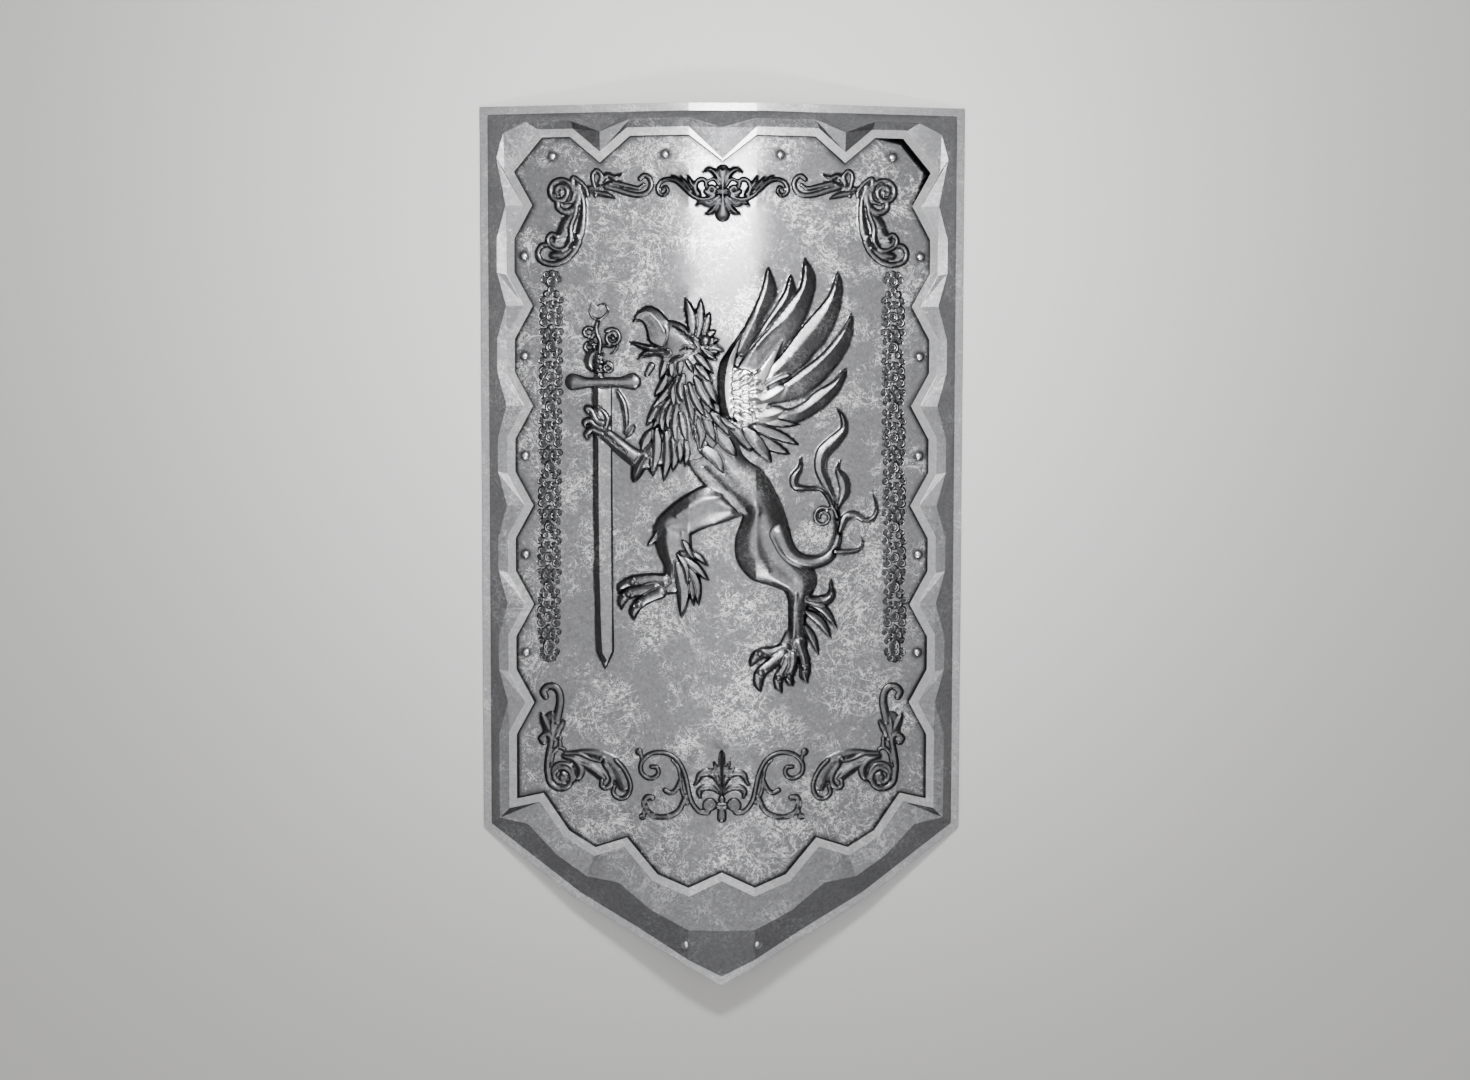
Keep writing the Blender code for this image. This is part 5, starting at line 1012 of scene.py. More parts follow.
def triangulated(points, edges, outer, holes):
    """Points and triangles between the outer loop and the holes, and the given point behind each point."""
    result = delaunay_2d_cdt([Vector(p) for p in points], edges, [], 0, TOUCHING)
    verts = np.array([tuple(v) for v in result[0]])
    faces = np.array([f for f in result[2]])
    source = np.array([min(origin, default=-1) for origin in result[3]])
    middle = verts[faces].mean(1)
    keep = inside(outer, middle[:, 0], middle[:, 1])
    for hole in holes:
        near = np.hypot(*(middle - np.mean(hole, axis=0)).T) < HOLE_NEAR
        keep[near] &= ~inside(np.array(hole), middle[near, 0], middle[near, 1])
    return verts, faces[keep], source


def hollows_and_painted_shade(relief, verts, outer):
    """Darkening: oxide in hollows, painted shade on steep sides and round rivet heads, painted shadow at the
    rim's step.
    """
    x, y = verts[:, 0], verts[:, 1]
    low_parts = blurred(relief.height, 3) - relief.height
    hollow = np.clip(low_parts / HOLLOW_FULL, 0, 1)
    # Painted shade on the steep sides of the forms
    gy, gx = np.gradient(relief.height, GRID)
    steep = eased((blurred(np.hypot(gx, gy), 1) - STEEP_FROM) / STEEP_RUN)
    at_form = relief.at(np.maximum(hollow, steep), x, y)
    # Painted shadow along the foot of the rim's step
    at_step = np.clip(1 - to_line(x, y, np.vstack([outer, outer[:1]]))[0] / STEP_SHADE, 0, 1)
    # Painted shade round each rivet's head
    away = np.min([np.hypot(x - rx, y - ry) for rx, ry in rivet_places()[0]], axis=0)
    at_rivet = np.clip((RIVET_SHADE[1] - away) / (RIVET_SHADE[1] - RIVET_SHADE[0]), 0, 1)
    return np.maximum(at_form, np.maximum(at_step, at_rivet))


def build_field(relief, materials):
    """The embossed plate: closed, with its holes, the carving on its face and a plain back."""
    outer = offset(whole(opening_half()), -FIT_GAP)
    holes = [ring(x - math.tan(lean_at(x)) * HALF_SHEET, y, RIVET_HOLE, HOLE_SIDES, lean_at(x))
             for x, y in rivet_places()[0]]
    points = [tuple(p) for p in outer]
    edges = [(i, (i + 1) % len(points)) for i in range(len(points))]

    def add_loop(loop):
        start = len(points)
        points.extend(tuple(p) for p in loop)
        edges.extend((start + i, start + (i + 1) % len(loop)) for i in range(len(loop)))

    for hole in holes:
        add_loop(hole)
    folds = []
    for side in (-FOLD, FOLD):
        on_fold = [i for i in range(len(outer)) if abs(outer[i][0] - side) < WELD]
        ends = sorted(on_fold, key=lambda i: outer[i][1])
        folds.append((side, ends[0], ends[-1]))
    plain = len(points)
    plain_edges = edges + [(a, b) for side, a, b in folds]
    add_loop(offset(outer, -STEP_SHADE))
    for x, y in rivet_places()[0]:
        for radius in RIVET_SHADE:
            add_loop(ring(x, y, radius, HOLE_SIDES))
    for loop in contours(relief):
        add_loop(loop)
    level = len(points)
    for side, a, b in folds:
        # Close together where the fold runs through the carving, each twelfth elsewhere
        rows = np.arange(outer[a][1] + FOLD_ENDS[0], outer[b][1] - FOLD_ENDS[1], FOLD_STEP)
        carved = relief.at(relief.depth, np.full(len(rows), side), rows) > GRID
        rows = rows[carved | (np.arange(len(rows)) % 12 == 0)]
        chain = [a] + list(range(len(points), len(points) + len(rows))) + [b]
        points.extend((side, y) for y in rows)
        edges.extend(zip(chain[:-1], chain[1:]))
    # So that the sheet turns softly over the folds
    for x in BESIDE_FOLDS:
        rows = np.arange(relief.ys[0], relief.ys[-1], BESIDE_STEP)
        points.extend((x, y) for y in rows[relief.at(relief.depth, np.full(len(rows), x), rows) < -2 * GRID])
    points.extend(tuple(p) for p in carving_points(relief, CARVED_POINTS - len(points)))
    verts, faces, source = triangulated(points, edges, outer, holes)
    # The edge, the holes and the lines round their painted shade stay level with the sheet
    own = (source < 0) | (source >= level)
    deep = relief.at(relief.depth, verts[:, 0], verts[:, 1]) > ON_FORM
    z = relief.at(relief.height, verts[:, 0], verts[:, 1]) * (own & deep)
    top = np.column_stack([verts, datum(verts[:, 0]) + PLATE_LEVEL + z])
    # The back is plain, and walls along the edge and round the holes join it to the face
    back_verts, back_faces, back_source = triangulated(points[:plain], plain_edges, outer, holes)
    back = np.column_stack([back_verts, datum(back_verts[:, 0]) + PLATE_BACK])
    shift = len(top)
    all_faces = [tuple(f) for f in faces] + [tuple(int(v) + shift for v in f[::-1]) for f in back_faces]
    top_of = {int(s): k for k, s in enumerate(source) if 0 <= s < plain}
    back_of = {int(s): k + shift for k, s in enumerate(back_source) if 0 <= s < plain}
    for a, b in edges[:plain]:
        all_faces.append((top_of[a], top_of[b], back_of[b], back_of[a]))
    obj = mesh_object("field_plate_embossed", np.vstack([top, back]), all_faces, materials,
                      [0] * len(faces) + [1] * (len(all_faces) - len(faces)))
    # Oxide in the hollows with painted shade and shadow, the figure, the ornaments and a painted highlight
    for name, values in (("oxide_and_painted_shade", hollows_and_painted_shade(relief, verts, outer)),
                         ("figure", relief.at((relief.height > 0) * 1.0, verts[:, 0], verts[:, 1])),
                         ("ornament", relief.at(relief.ornament, verts[:, 0], verts[:, 1])),
                         ("polish", relief.at(relief.polish, verts[:, 0], verts[:, 1]))):
        point_values(obj.data, name, np.r_[values, np.zeros(len(back))])
    bm = bmesh.new()
    bm.from_mesh(obj.data)
    used = {v for f in bm.faces for v in f.verts}
    for v in [v for v in bm.verts if v not in used]:
        bm.verts.remove(v)
    bmesh.ops.recalc_face_normals(bm, faces=bm.faces)
    bm.to_mesh(obj.data)
    bm.free()
    obj.data.shade_smooth()
    obj.data.set_sharp_from_angle(angle=math.radians(SHARP_CARVING))
    return obj


def raised(loop, level, over=None):
    """A loop at a level over the folded surface, which is taken under the other loop where one is given."""
    x = (loop if over is None else over)[:, 0]
    return np.column_stack([loop, datum(x) + level])


def build_rim(materials):
    """The pressed frame, its edges rounded; bright lip and inner strip, dark band, sloping strip."""
    opening, crest, outline = whole(opening_half()), whole(crest_half()), whole(outline_half())
    strip = offset(opening, STRIP_WIDTH)
    strip[0] = opening[0] + (0, STRIP_PINCH)
    wall = offset(opening, WALL)
    wall[0] = opening[0] + (0, STRIP_PINCH / 2)
    lip, edge = offset(outline, -LIP_WIDTH), offset(outline, -EDGE_WIDTH)
    flange = flange_loop(opening)
    # Each ring's loop and level, and the material of the surface from it to the next
    bright, band, slope, back = range(4)
    rings = ((outline, 0, bright), (outline, LIP_LEVEL, bright), (lip, LIP_LEVEL, band),
             (crest, CREST_LEVEL, slope), (strip, STRIP_LEVEL, bright), (opening, STRIP_LEVEL, back),
             (opening, FLANGE_LEVEL, back), (flange, FLANGE_LEVEL, back), (flange, FLANGE_BACK, back),
             (wall, FLANGE_BACK, back), (wall, STRIP_LEVEL - SHEET, back),
             (strip, STRIP_LEVEL - SHEET, back), (crest, CREST_LEVEL - SHEET, back),
             (lip, LIP_LEVEL - SHEET, back), (edge, LIP_LEVEL - SHEET, back), (edge, 0, back))
    count = len(opening)
    front_rings = 8
    verts = np.vstack([raised(loop, level) for loop, level, kind in rings[:-1]]
                      + [raised(edge, 0, over=outline)])
    faces, kinds = [], []
    for k, (loop, level, kind) in enumerate(rings):
        a0, b0 = k * count, ((k + 1) % len(rings)) * count
        for i in range(count):
            j = (i + 1) % count
            a, b, c, d = a0 + i, a0 + j, b0 + j, b0 + i
            # The diagonal mirrors across the middle line, and runs the same way before and behind
            one_way = (i < count // 2) == (k < front_rings)
            faces += [(a, b, c), (a, c, d)] if one_way else [(a, b, d), (b, c, d)]
            kinds += [kind, kind]
    obj = mesh_object("rim_pressed", verts, faces, materials, kinds)
    bm = bmesh.new()
    bm.from_mesh(obj.data)
    bmesh.ops.remove_doubles(bm, verts=bm.verts, dist=WELD)
    bmesh.ops.dissolve_degenerate(bm, dist=WELD, edges=bm.edges)
    bmesh.ops.recalc_face_normals(bm, faces=bm.faces)
    for x in BESIDE_FOLDS:
        bmesh.ops.bisect_plane(bm, geom=bm.verts[:] + bm.edges[:] + bm.faces[:], dist=WELD,
                               plane_co=(x, 0, 0), plane_no=(1, 0, 0))
    bm.to_mesh(obj.data)
    bm.free()
    obj.data.shade_smooth()
    bevel = obj.modifiers.new("worn_edges", "BEVEL")
    bevel.harden_normals = True
    bevel.width = ROUNDING
    bevel.segments = 3
    bevel.limit_method = "ANGLE"
    bevel.angle_limit = math.radians(ROUNDED_OVER)
    bake(obj)
    spread_folds(obj.data)
    return obj


def spread_folds(mesh):
    """Turns the normals near the two folds, so that light runs over them as gently as on the plate."""
    fall = math.atan(DROP / (HALF - FOLD))
    normals = []
    for corner, loop in zip(mesh.corner_normals, mesh.loops):
        x = mesh.vertices[loop.vertex_index].co.x
        folded = np.clip((abs(x) - FOLD) / ROUNDING / 2 + 0.5, 0, 1)
        spread = np.clip((abs(x) - FOLD) / FOLD_SOFT / 2 + 0.5, 0, 1)
        turn = Matrix.Rotation(math.copysign(1, x) * fall * (spread - folded), 3, "Y")
        normals.append(turn @ corner.vector)
    mesh.normals_split_custom_set(normals)


def bake(obj):
    """The object's evaluated mesh in place of its modifiers."""
    graph = bpy.context.evaluated_depsgraph_get()
    mesh = bpy.data.meshes.new_from_object(obj.evaluated_get(graph), depsgraph=graph)
    obj.modifiers.clear()
    obj.data = mesh


def linear(text):
    """sRGB hex colour as linear RGBA."""
    values = [int(text[i:i + 2], 16) / 255 for i in (0, 2, 4)]
    return [v / 12.92 if v <= 0.04045 else ((v + 0.055) / 1.055) ** 2.4 for v in values] + [1]


def node(tree, kind, inputs=None, **settings):
    """A node with its settings made and its inputs set or linked."""
    made = tree.nodes.new(kind)
    for name, value in settings.items():
        setattr(made, name, value)
    for key, value in (inputs or {}).items():
        if isinstance(value, bpy.types.NodeSocket):
            tree.links.new(value, made.inputs[key])
        else:
            made.inputs[key].default_value = value
    return made


# What repeats: the rivets and the motifs of the filigree

def setting_tree():
    """Sets a shape out on points, each turned by the point's own value and all sized alike."""
    tree = bpy.data.node_groups.new("set_out_shape", "GeometryNodeTree")
    for name, kind in (("Points", "Geometry"), ("Shape", "Object"), ("Size", "Float"),
                       ("Material", "Material")):
        tree.interface.new_socket(name, in_out="INPUT", socket_type="NodeSocket" + kind)
    tree.interface.new_socket("Geometry", in_out="OUTPUT", socket_type="NodeSocketGeometry")
    given = node(tree, "NodeGroupInput").outputs
    turn = node(tree, "GeometryNodeInputNamedAttribute", {"Name": "turn"},
                data_type="FLOAT_VECTOR").outputs["Attribute"]
    shape = node(tree, "GeometryNodeObjectInfo", {"Object": given["Shape"]}).outputs["Geometry"]
    copies = node(tree, "GeometryNodeInstanceOnPoints", {"Points": given["Points"], "Instance": shape,
                                                         "Rotation": turn, "Scale": given["Size"]})
    solid = node(tree, "GeometryNodeRealizeInstances", {"Geometry": copies.outputs["Instances"]})
    coated = node(tree, "GeometryNodeSetMaterial", {"Geometry": solid.outputs["Geometry"],
                                                    "Material": given["Material"]})
    node(tree, "NodeGroupOutput", {"Geometry": coated.outputs["Geometry"]})
    return tree


def set_out(name, shape, places, turns, material, size=1.0):
    """One plain mesh of the shape repeated at the places."""
    obj = mesh_object(name, places, [])
    point_values(obj.data, "turn", turns)
    modifier = obj.modifiers.new("set_out", "NODES")
    modifier.node_group = SETTING
    values = {"Shape": shape, "Size": size, "Material": material}
    for item in SETTING.interface.items_tree:
        if item.in_out == "INPUT" and item.name in values:
            modifier[item.identifier] = values[item.name]
    bake(obj)
    bpy.data.objects.remove(shape)
    obj.data.shade_smooth()
    obj.data.set_sharp_from_angle(angle=math.radians(SHARP_SMALL))
    return obj


def lathe(profile, sides, x=0.0, y=0.0):
    """Points and faces of a turned solid, from the top of its axis to the bottom."""
    verts, faces, rows = [], [], []
    for radius, z in profile:
        if radius == 0:
            rows.append([len(verts)] * sides)
            verts.append((x, y, z))
        else:
            rows.append(list(range(len(verts), len(verts) + sides)))
            verts += [(px, py, z) for px, py in ring(x, y, radius, sides)]
    for above, below in zip(rows[:-1], rows[1:]):
        for i in range(sides):
            j = (i + 1) % sides
            corners = [above[i], below[i], below[j], above[j]]
            faces.append(tuple(dict.fromkeys(corners)))
    return verts, faces


def wire_ring(x, y, radius, wire, height, sides=12):
    """Points and faces of a ring of round wire lying on the plate."""
    verts, faces, section = [], [], 5
    for px, py in ring(0, 0, 1, sides):
        for k in range(section):
            a = 2 * math.pi * k / section
            r = radius + wire * math.cos(a)
            verts.append((x + px * r, y + py * r, height + wire * math.sin(a)))
    for i in range(sides):
        for k in range(section):
            a, b = i * section, ((i + 1) % sides) * section
            m = (k + 1) % section
            faces.append((a + k, b + k, b + m, a + m))
    return verts, faces


def joined(name, parts):
    """One object from several lists of points and faces."""
    verts, faces = [], []
    for some_verts, some_faces in parts:
        faces += [tuple(v + len(verts) for v in f) for f in some_faces]
        verts += some_verts
    return mesh_object(name, verts, faces)


def rivet_shape(name, grip_length):
    """A domed head over a shank with a flat tail."""
    steps = 7
    angles = [math.pi / 2 * k / steps for k in range(steps + 1)]
    profile = [(DOME[0] * math.sin(a) if k else 0.0, DOME[1] * math.cos(a)) for k, a in enumerate(angles)]
    end = -grip_length - TAIL[1]
    profile += [(SHANK, 0.0), (SHANK, -grip_length), (TAIL[0], -grip_length), (TAIL[0], end), (0.0, end)]
    return joined(name, [lathe(profile, RIVET_SIDES)])


def build_rivets():
    field, band = rivet_places()
    places = [(x, y, float(datum(x)) + PLATE_LEVEL + FIT_GAP) for x, y in field]
    on_field = set_out("field_rivets", rivet_shape("rivet", PLATE_LEVEL - FLANGE_BACK + 2 * FIT_GAP), places,
                       [(0, lean_at(x), 0) for x, y in field], rivet_steel)
    lip = raised(offset(whole(outline_half()), -LIP_WIDTH), LIP_LEVEL)
    crest = raised(whole(crest_half()), CREST_LEVEL)
    tip = len(crest) // 2
    places, turns = [], []
    for x, y in band:
        side = -1 if x > 0 else 1
        a, b, c = Vector(lip[tip + 2 * side]), Vector(lip[tip + side]), Vector(crest[tip + side])
        normal = (b - a).cross(c - a).normalized()
        normal *= math.copysign(1, normal.z)
        z = a.z - (normal.x * (x - a.x) + normal.y * (y - a.y)) / normal.z
        places.append(Vector((x, y, z)) + normal * FIT_GAP)
        turns.append(tuple(Vector((0, 0, 1)).rotation_difference(normal).to_euler()))
    on_band = set_out("tip_rivets", rivet_shape("rivet", SHEET + 2 * FIT_GAP), places, turns, rivet_steel)
    return on_field, on_band


def low_disc(x, y, radius, height):
    """A low boss, rounded over, its root in the plate."""
    profile = [(radius * across, height * up) for across, up in BOSS_SHAPE]
    return lathe(profile + [(radius, -BOSS_ROOT), (0.0, -BOSS_ROOT)], 10, x, y)


def lace(discs):
    """The dark ground of a motif: bosses given in units, each a hair higher than the one before."""
    return [low_disc(x * UNIT, y * UNIT, r * UNIT, LACE_LEVEL + LACE_STEP * i)
            for i, (x, y, r) in enumerate(discs)]


def wires(rings):
    return [wire_ring(x * UNIT, y * UNIT, r * UNIT, WIRE, WIRE_LEVEL) for x, y, r in rings]


def with_sides(middle, side):
    """The rounds of a motif: those on its middle line, then those beside it, left and right."""
    return middle + [(s * x, y, r) for s in (-1, 1) for x, y, r in side]


def blossom(ground):
    """One repeat of the strip: a four-leaved blossom, and the small rosette under it."""
    rosette = -BLOSSOM_STEP / UNIT / 2
    if ground:
        return lace(with_sides(
            [(0, 0, 1.5), (0, -7.4, 1.7), (0, 3.0, 1.2), (0, -3.0, 1.3), (0, rosette + 2.4, 1.2)],
            [(1.9, 1.7, 1.25), (1.9, -1.5, 1.25), (2.3, 0.1, 0.9), (1.2, 2.8, 1.1), (2.35, 4.1, 1.0),
             (2.4, -3.8, 1.0), (1.2, -3.9, 1.2), (1.9, -6.0, 0.95), (2.0, -8.8, 0.95), (1.2, 5.6, 1.1),
             (1.3, -5.2, 1.0)]))
    rings = with_sides(
        [(0, 0, 0.95), (0, rosette, 1.1), (0, rosette, 0.5), (0, 0, 0.4)],
        [(1.85, 1.6, 0.75), (1.85, -1.4, 0.75), (2.4, 4.2, 0.6), (2.5, -3.9, 0.6), (1.0, 3.4, 0.55),
         (1.0, -4.6, 0.55), (2.0, -6.3, 0.6), (2.0, -8.6, 0.6), (0.9, 5.6, 0.5)])
    drops = [(-1.85, 0.1, 0.5), (1.85, 0.1, 0.5), (0, -2.7, 0.5), (0, 2.5, 0.45), (0, 0, 0.22)]
    return wires(rings) + [low_disc(x * UNIT, y * UNIT, r * UNIT, DROP_LEVEL) for x, y, r in drops]


def strip_end(ground):
    """The shell that closes each end of a strip, drawn upwards from the last blossom."""
    if ground:
        return lace([(0, 0, 2.0), (-1.9, 0.4, 1.0), (1.9, 0.4, 1.0), (-1.2, 1.7, 1.0), (1.2, 1.7, 1.0),
                     (0, 2.0, 1.0), (0, -2.2, 1.3)])
    return wires([(0, 0, 0.95), (0, 0, 0.4), (-1.9, 0.4, 0.6), (1.9, 0.4, 0.6), (-1.2, 1.7, 0.6),
                  (1.2, 1.7, 0.6), (0, -2.2, 0.6)])


def build_filigree():
    """Two strips of filigree soldered to the plate: a dark lace ground and brighter wires over it."""
    def on_strip(side, y):
        x = -side * float(np.interp(y, (STRIP_FOOT[1], STRIP_TOP[1]), (STRIP_FOOT[0], STRIP_TOP[0])))
        return (x, y, float(datum(x)) + PLATE_LEVEL)

    rows = [BLOSSOM_TOP - BLOSSOM_STEP * i for i in range(BLOSSOMS)]
    blossoms = [on_strip(side, y) for side in (-1, 1) for y in rows]
    ends = [on_strip(side, y) for side in (-1, 1) for y in (STRIP_TOP[1], STRIP_FOOT[1])]
    pieces = []
    for ground, material in ((True, lace_steel), (False, wire_steel)):
        for label, shape, places in (("blossoms", blossom(ground), blossoms),
                                     ("ends", strip_end(ground), ends)):
            turns = []
            for x, y, z in places:
                down = label == "ends" and y < 0
                turns.append((0, lean_at(x) * (-1 if down else 1), math.pi if down else 0))
            pieces.append(set_out("filigree_" + label, joined("motif", shape), places, turns, material))
    strips = pieces[0]
    with bpy.context.temp_override(active_object=strips, selected_editable_objects=pieces):
        bpy.ops.object.join()
    strips.name = "filigree_strips"
    return strips


# Materials. Sizes of the patterns in metres; a noise of scale s repeats about every 1/s

CLOUD = 0.060               # patches of oxide, 40 to 80 mm across
MOTTLE = 0.0045             # islands of rubbed steel of 1 to 7 mm; finer ones wouldn't show
SCRATCH = 0.045             # meshes of the net of hairline scratches, the lines drawn 0.8 mm wide
WEB = 0.014                 # meshes of the finer web of scratches between them
TOOTH = 0.0016              # pitting of the surface, drawn coarser than the real 0.2 mm

# Size, detail, roughness and twist of each pattern
NOISES = ((CLOUD, 4, 0.6, 0), (MOTTLE, 6, 0.74, 0.7), (TOOTH, 3, 0.6, 0), (SCRATCH, 6, 0.62, 1.2),
          (WEB, 6, 0.62, 1.2))
SCRATCH_LINE = (0.004, 0.013)       # how far from its middle value a noise still draws a full line, and none
WEB_LINE = (0.003, 0.011)
THIN_OXIDE = (0.43, 0.57)   # where the cloud lets scratches through, none and all
ISLAND_EDGE = (0.86, 0.88)  # level at which the oxide opens into an island
TONE_SPREAD = (0.35, 0.65)
FIGURE_WORN = 0.35          # how much of the wear is seen on the figure
ROUGHER_WORN = 0.12         # rubbed metal is this much less glossy, for its scratches
TOOTH_DEPTH = 0.0002        # of the pits, and how strongly they show
TOOTH_SHOWN = 0.25
# Tints over the field (darker ornaments, a painted highlight, oxide with painted shade): the point value that
# places each, its strength and its colour
TINTS_AND_PAINTED_LIGHT = (("ornament", 0.90, "1e1e20"), ("polish", 0.80, "e6e6e8"), ("oxide_and_painted_shade", 0.84, "38383a"))


def steel(name, dark, light, flecks, rough, wear=1.0, carved=False, metal=1.0):
    """Worn steel: grey oxide, rubbed through to paler metal in islands and hairline scratches."""
    material = bpy.data.materials.new(name)
    material.use_nodes = True
    tree = material.node_tree
    shader = tree.nodes["Principled BSDF"]
    place = node(tree, "ShaderNodeTexCoord").outputs["Object"]
    cloud, mottle, tooth, scratch, web = [
        node(tree, "ShaderNodeTexNoise", {"Vector": place, "Scale": 1 / size, "Detail": detail,
                                          "Roughness": crisp, "Distortion": twist}).outputs["Fac"]
        for size, detail, crisp, twist in NOISES]
    # Islands open where mottle and cloud are both high
    level = node(tree, "ShaderNodeMath", {0: cloud, 1: 0.5, 2: mottle}, operation="MULTIPLY_ADD").outputs[0]
    worn = node(tree, "ShaderNodeMapRange", {"Value": level, "From Min": ISLAND_EDGE[0],
                                             "From Max": ISLAND_EDGE[1]}).outputs[0]
    # Scratches and the finer web run where a noise crosses its middle value, and where the oxide is thin
    thin = node(tree, "ShaderNodeMapRange", {"Value": cloud, "From Min": THIN_OXIDE[0],
                                             "From Max": THIN_OXIDE[1]}).outputs[0]
    for net, (full, gone) in ((scratch, SCRATCH_LINE), (web, WEB_LINE)):
        away = node(tree, "ShaderNodeMath", {0: net, 1: 0.5}, operation="SUBTRACT").outputs[0]
        away = node(tree, "ShaderNodeMath", {0: away}, operation="ABSOLUTE").outputs[0]
        line = node(tree, "ShaderNodeMapRange", {"Value": away, "From Min": full, "From Max": gone,
                                                 "To Min": 1.0, "To Max": 0}).outputs[0]
        line = node(tree, "ShaderNodeMath", {0: line, 1: thin}, operation="MULTIPLY").outputs[0]
        worn = node(tree, "ShaderNodeMath", {0: worn, 1: line}, operation="MAXIMUM").outputs[0]
    worn = node(tree, "ShaderNodeMath", {0: worn, 1: wear}, operation="MULTIPLY", use_clamp=True).outputs[0]
    if carved:
        # The figure is worn evenly, with few flecks
        figure = node(tree, "ShaderNodeAttribute", attribute_name="figure").outputs["Fac"]
        left = node(tree, "ShaderNodeMapRange", {"Value": figure, "To Min": 1.0,
                                                 "To Max": FIGURE_WORN}).outputs[0]
        worn = node(tree, "ShaderNodeMath", {0: worn, 1: left}, operation="MULTIPLY").outputs[0]
    tone = node(tree, "ShaderNodeMapRange", {"Value": mottle, "From Min": TONE_SPREAD[0],
                                             "From Max": TONE_SPREAD[1]}).outputs[0]
    grey = node(tree, "ShaderNodeMix", {0: tone, 6: linear(dark), 7: linear(light)},
                data_type="RGBA").outputs[2]
    colour = node(tree, "ShaderNodeMix", {0: worn, 6: grey, 7: linear(flecks)}, data_type="RGBA").outputs[2]
    for value, strength, tint in TINTS_AND_PAINTED_LIGHT if carved else ():
        share = node(tree, "ShaderNodeAttribute", attribute_name=value).outputs["Fac"]
        share = node(tree, "ShaderNodeMath", {0: share, 1: strength}, operation="MULTIPLY").outputs[0]
        colour = node(tree, "ShaderNodeMix", {0: share, 6: colour, 7: linear(tint)},
                      data_type="RGBA").outputs[2]
    tree.links.new(colour, shader.inputs["Base Color"])
    shader.inputs["Metallic"].default_value = metal
    gloss = node(tree, "ShaderNodeMapRange", {"Value": worn, "To Min": rough, "To Max": rough + ROUGHER_WORN})
    tree.links.new(gloss.outputs[0], shader.inputs["Roughness"])
    bump = node(tree, "ShaderNodeBump", {"Height": tooth, "Strength": TOOTH_SHOWN, "Distance": TOOTH_DEPTH})
    tree.links.new(bump.outputs["Normal"], shader.inputs["Normal"])
    return material


# Embossed steel sheet: grey oxide rubbed through to paler metal, black left in the hollows, with painted
# shade and a painted highlight
field_steel = steel("embossed_steel_worn", "626264", "7e7e80", "dcdcdd", 0.31, carved=True)
# The same sheet from behind, never rubbed: darker and more even
back_steel = steel("sheet_steel_back", "424243", "565658", "808082", 0.52, 0.5)
# Lip and inner strip: filed bright
edge_steel = steel("filed_steel_bright", "969698", "b2b2b4", "e4e4e5", 0.36, 0.5)
# Band between lip and crest: left dark under its forge scale, which is dull and hardly metal
band_steel = steel("blackened_steel_band", "525254", "6a6a6c", "9e9ea0", 0.50, 0.4, metal=0.35)
# Sloping strip between crest and inner strip
slope_steel = steel("pressed_steel_slope", "5a5a5c", "767678", "b4b4b6", 0.38, 0.5)
# Heads of the rivets: pale steel
rivet_steel = steel("rivet_steel_pale", "b4b4b5", "cacacc", "f4f4f4", 0.30, 0.6)
# Ground of the filigree, blackened, and its drawn wires, rubbed on top
lace_steel = steel("filigree_ground_blackened", "38383a", "4c4c4e", "6c6c6e", 0.42, 0.4)
wire_steel = steel("filigree_wire_drawn", "707072", "8a8a8c", "bcbcbe", 0.34, 0.7)
# Grip: forged bar, dark and worn
grip_steel = steel("forged_bar_dark", "3a3a3b", "4c4c4d", "77777a", 0.50, 0.4)

SETTING = setting_tree()
relief = carve()
field = build_field(relief, [field_steel, back_steel])
rim = build_rim([edge_steel, band_steel, slope_steel, back_steel])
field_rivets, tip_rivets = build_rivets()
filigree = build_filigree()

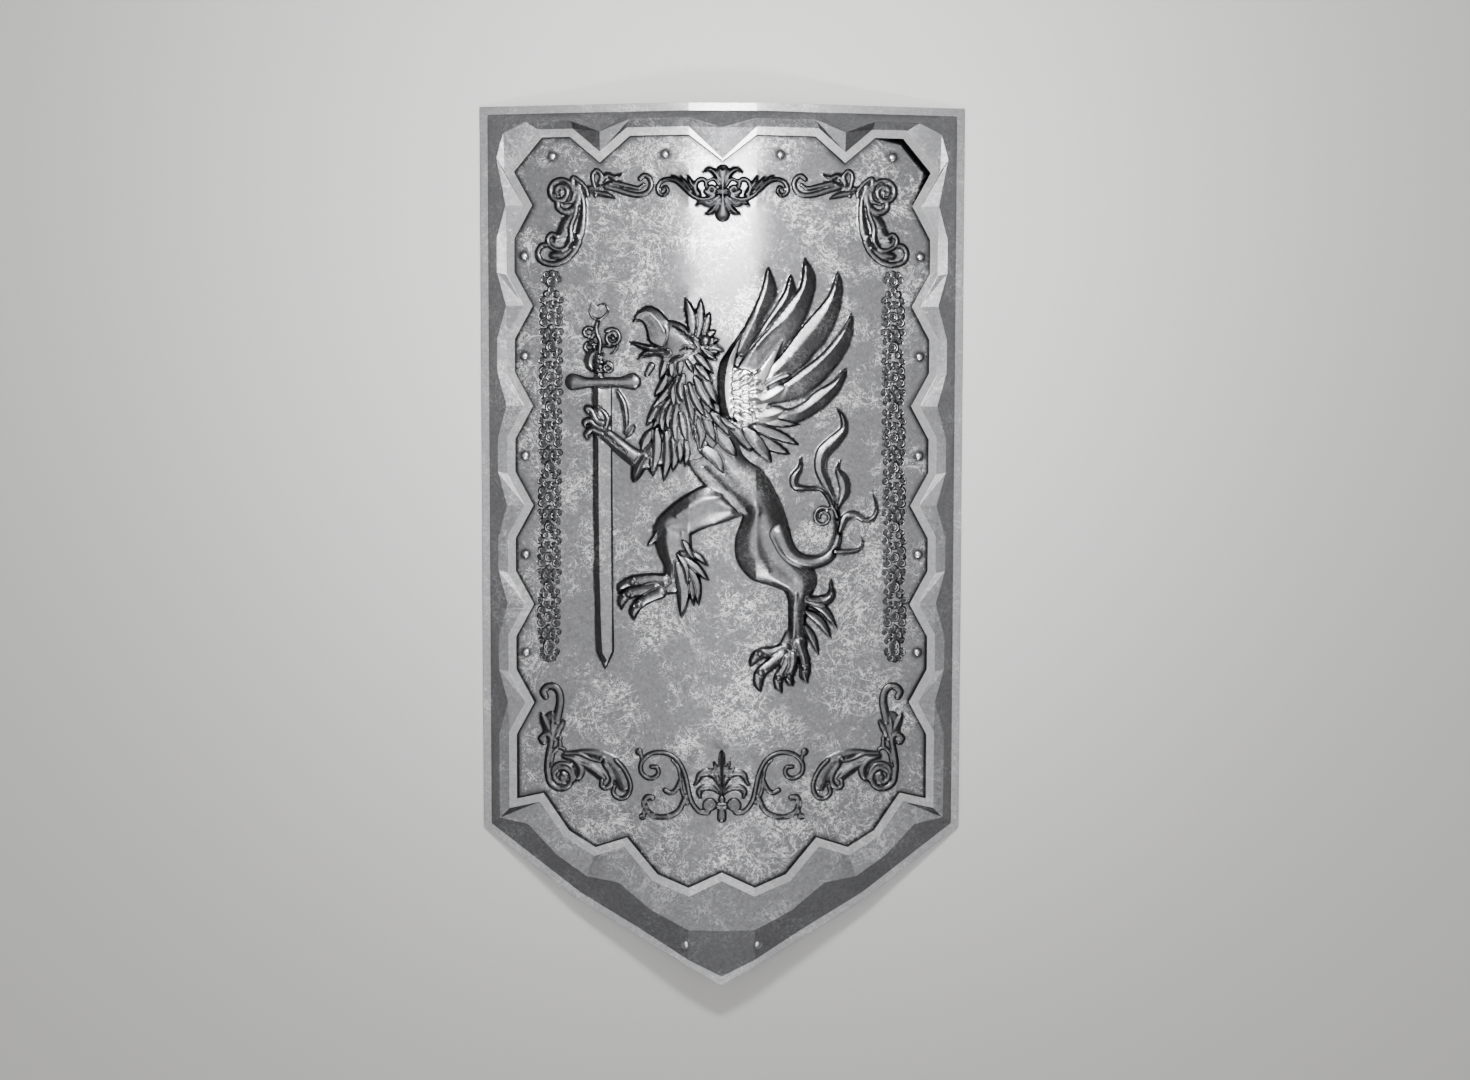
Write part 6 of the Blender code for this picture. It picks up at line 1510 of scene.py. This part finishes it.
field_nodes = sorted(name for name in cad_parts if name.startswith("field_rivet"))
tip_nodes = sorted(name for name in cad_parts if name.startswith("tip_rivet"))
for obj, slot, nodes in ((field, "field_steel", ["field_plate"]), (rim, "rim_steel", ["rim"]),
                         (field_rivets, "rivet_steel", field_nodes), (tip_rivets, "rivet_steel", tip_nodes),
                         (filigree, "field_steel", [])):
    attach(obj, "root")
    if nodes:
        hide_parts(*nodes)

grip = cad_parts["grip"]
grip.data.materials.clear()
grip.data.materials.append(grip_steel)

# Stage
bpy.ops.mesh.primitive_plane_add(size=12, location=(0, 0, 0))
floor = bpy.context.object
floor.name = "floor"
paper = bpy.data.materials.new("pale_floor")
paper.use_nodes = True
paper.node_tree.nodes["Principled BSDF"].inputs["Base Color"].default_value = linear("d8d7d5")
paper.node_tree.nodes["Principled BSDF"].inputs["Roughness"].default_value = 0.9
floor.data.materials.append(paper)

world = bpy.data.worlds.new("studio")
bpy.context.scene.world = world
world.use_nodes = True
world.node_tree.nodes["Background"].inputs["Color"].default_value = linear("d8d8d8")
world.node_tree.nodes["Background"].inputs["Strength"].default_value = 0.19


def lamp(name, place, aim, size, power, spread=180):
    """A rectangular lamp turned to what it lights."""
    light = bpy.data.lights.new(name, "AREA")
    light.shape = "RECTANGLE"
    light.size, light.size_y = size
    light.energy = power
    light.spread = math.radians(spread)
    obj = bpy.data.objects.new(name, light)
    obj.location = place
    obj.rotation_euler = (Vector(aim) - Vector(place)).to_track_quat("-Z", "Y").to_euler()
    bpy.context.scene.collection.objects.link(obj)
    return obj


# A wide soft lamp over it, a small bright one for the hot spot by the top lip, a weak one from the foot
lamp("softbox", (0, -0.15, 4.0), (0, -0.15, 0), (5.2, 2.9), 101)
lamp("top_glow", (0.03, 0.565, 1.05), (0.015, 0.45, 0), (0.34, 0.18), 18)
lamp("low_fill", (0.1, -2.0, 2.5), (0, 0.25, 0), (0.9, 0.7), 1.6, spread=20)

camera = bpy.data.objects.new("camera", bpy.data.cameras.new("camera"))
bpy.context.scene.collection.objects.link(camera)
camera.data.lens = 50
camera.data.sensor_width = 36
# The photo looks almost straight down on the lying shield, leaning a few degrees towards its top edge
camera.location = (-0.01422, 0.18216, 2.60076)
camera.rotation_euler = [math.radians(a) for a in (-3.8013, -0.6727, 0.1098)]
bpy.context.scene.camera = camera
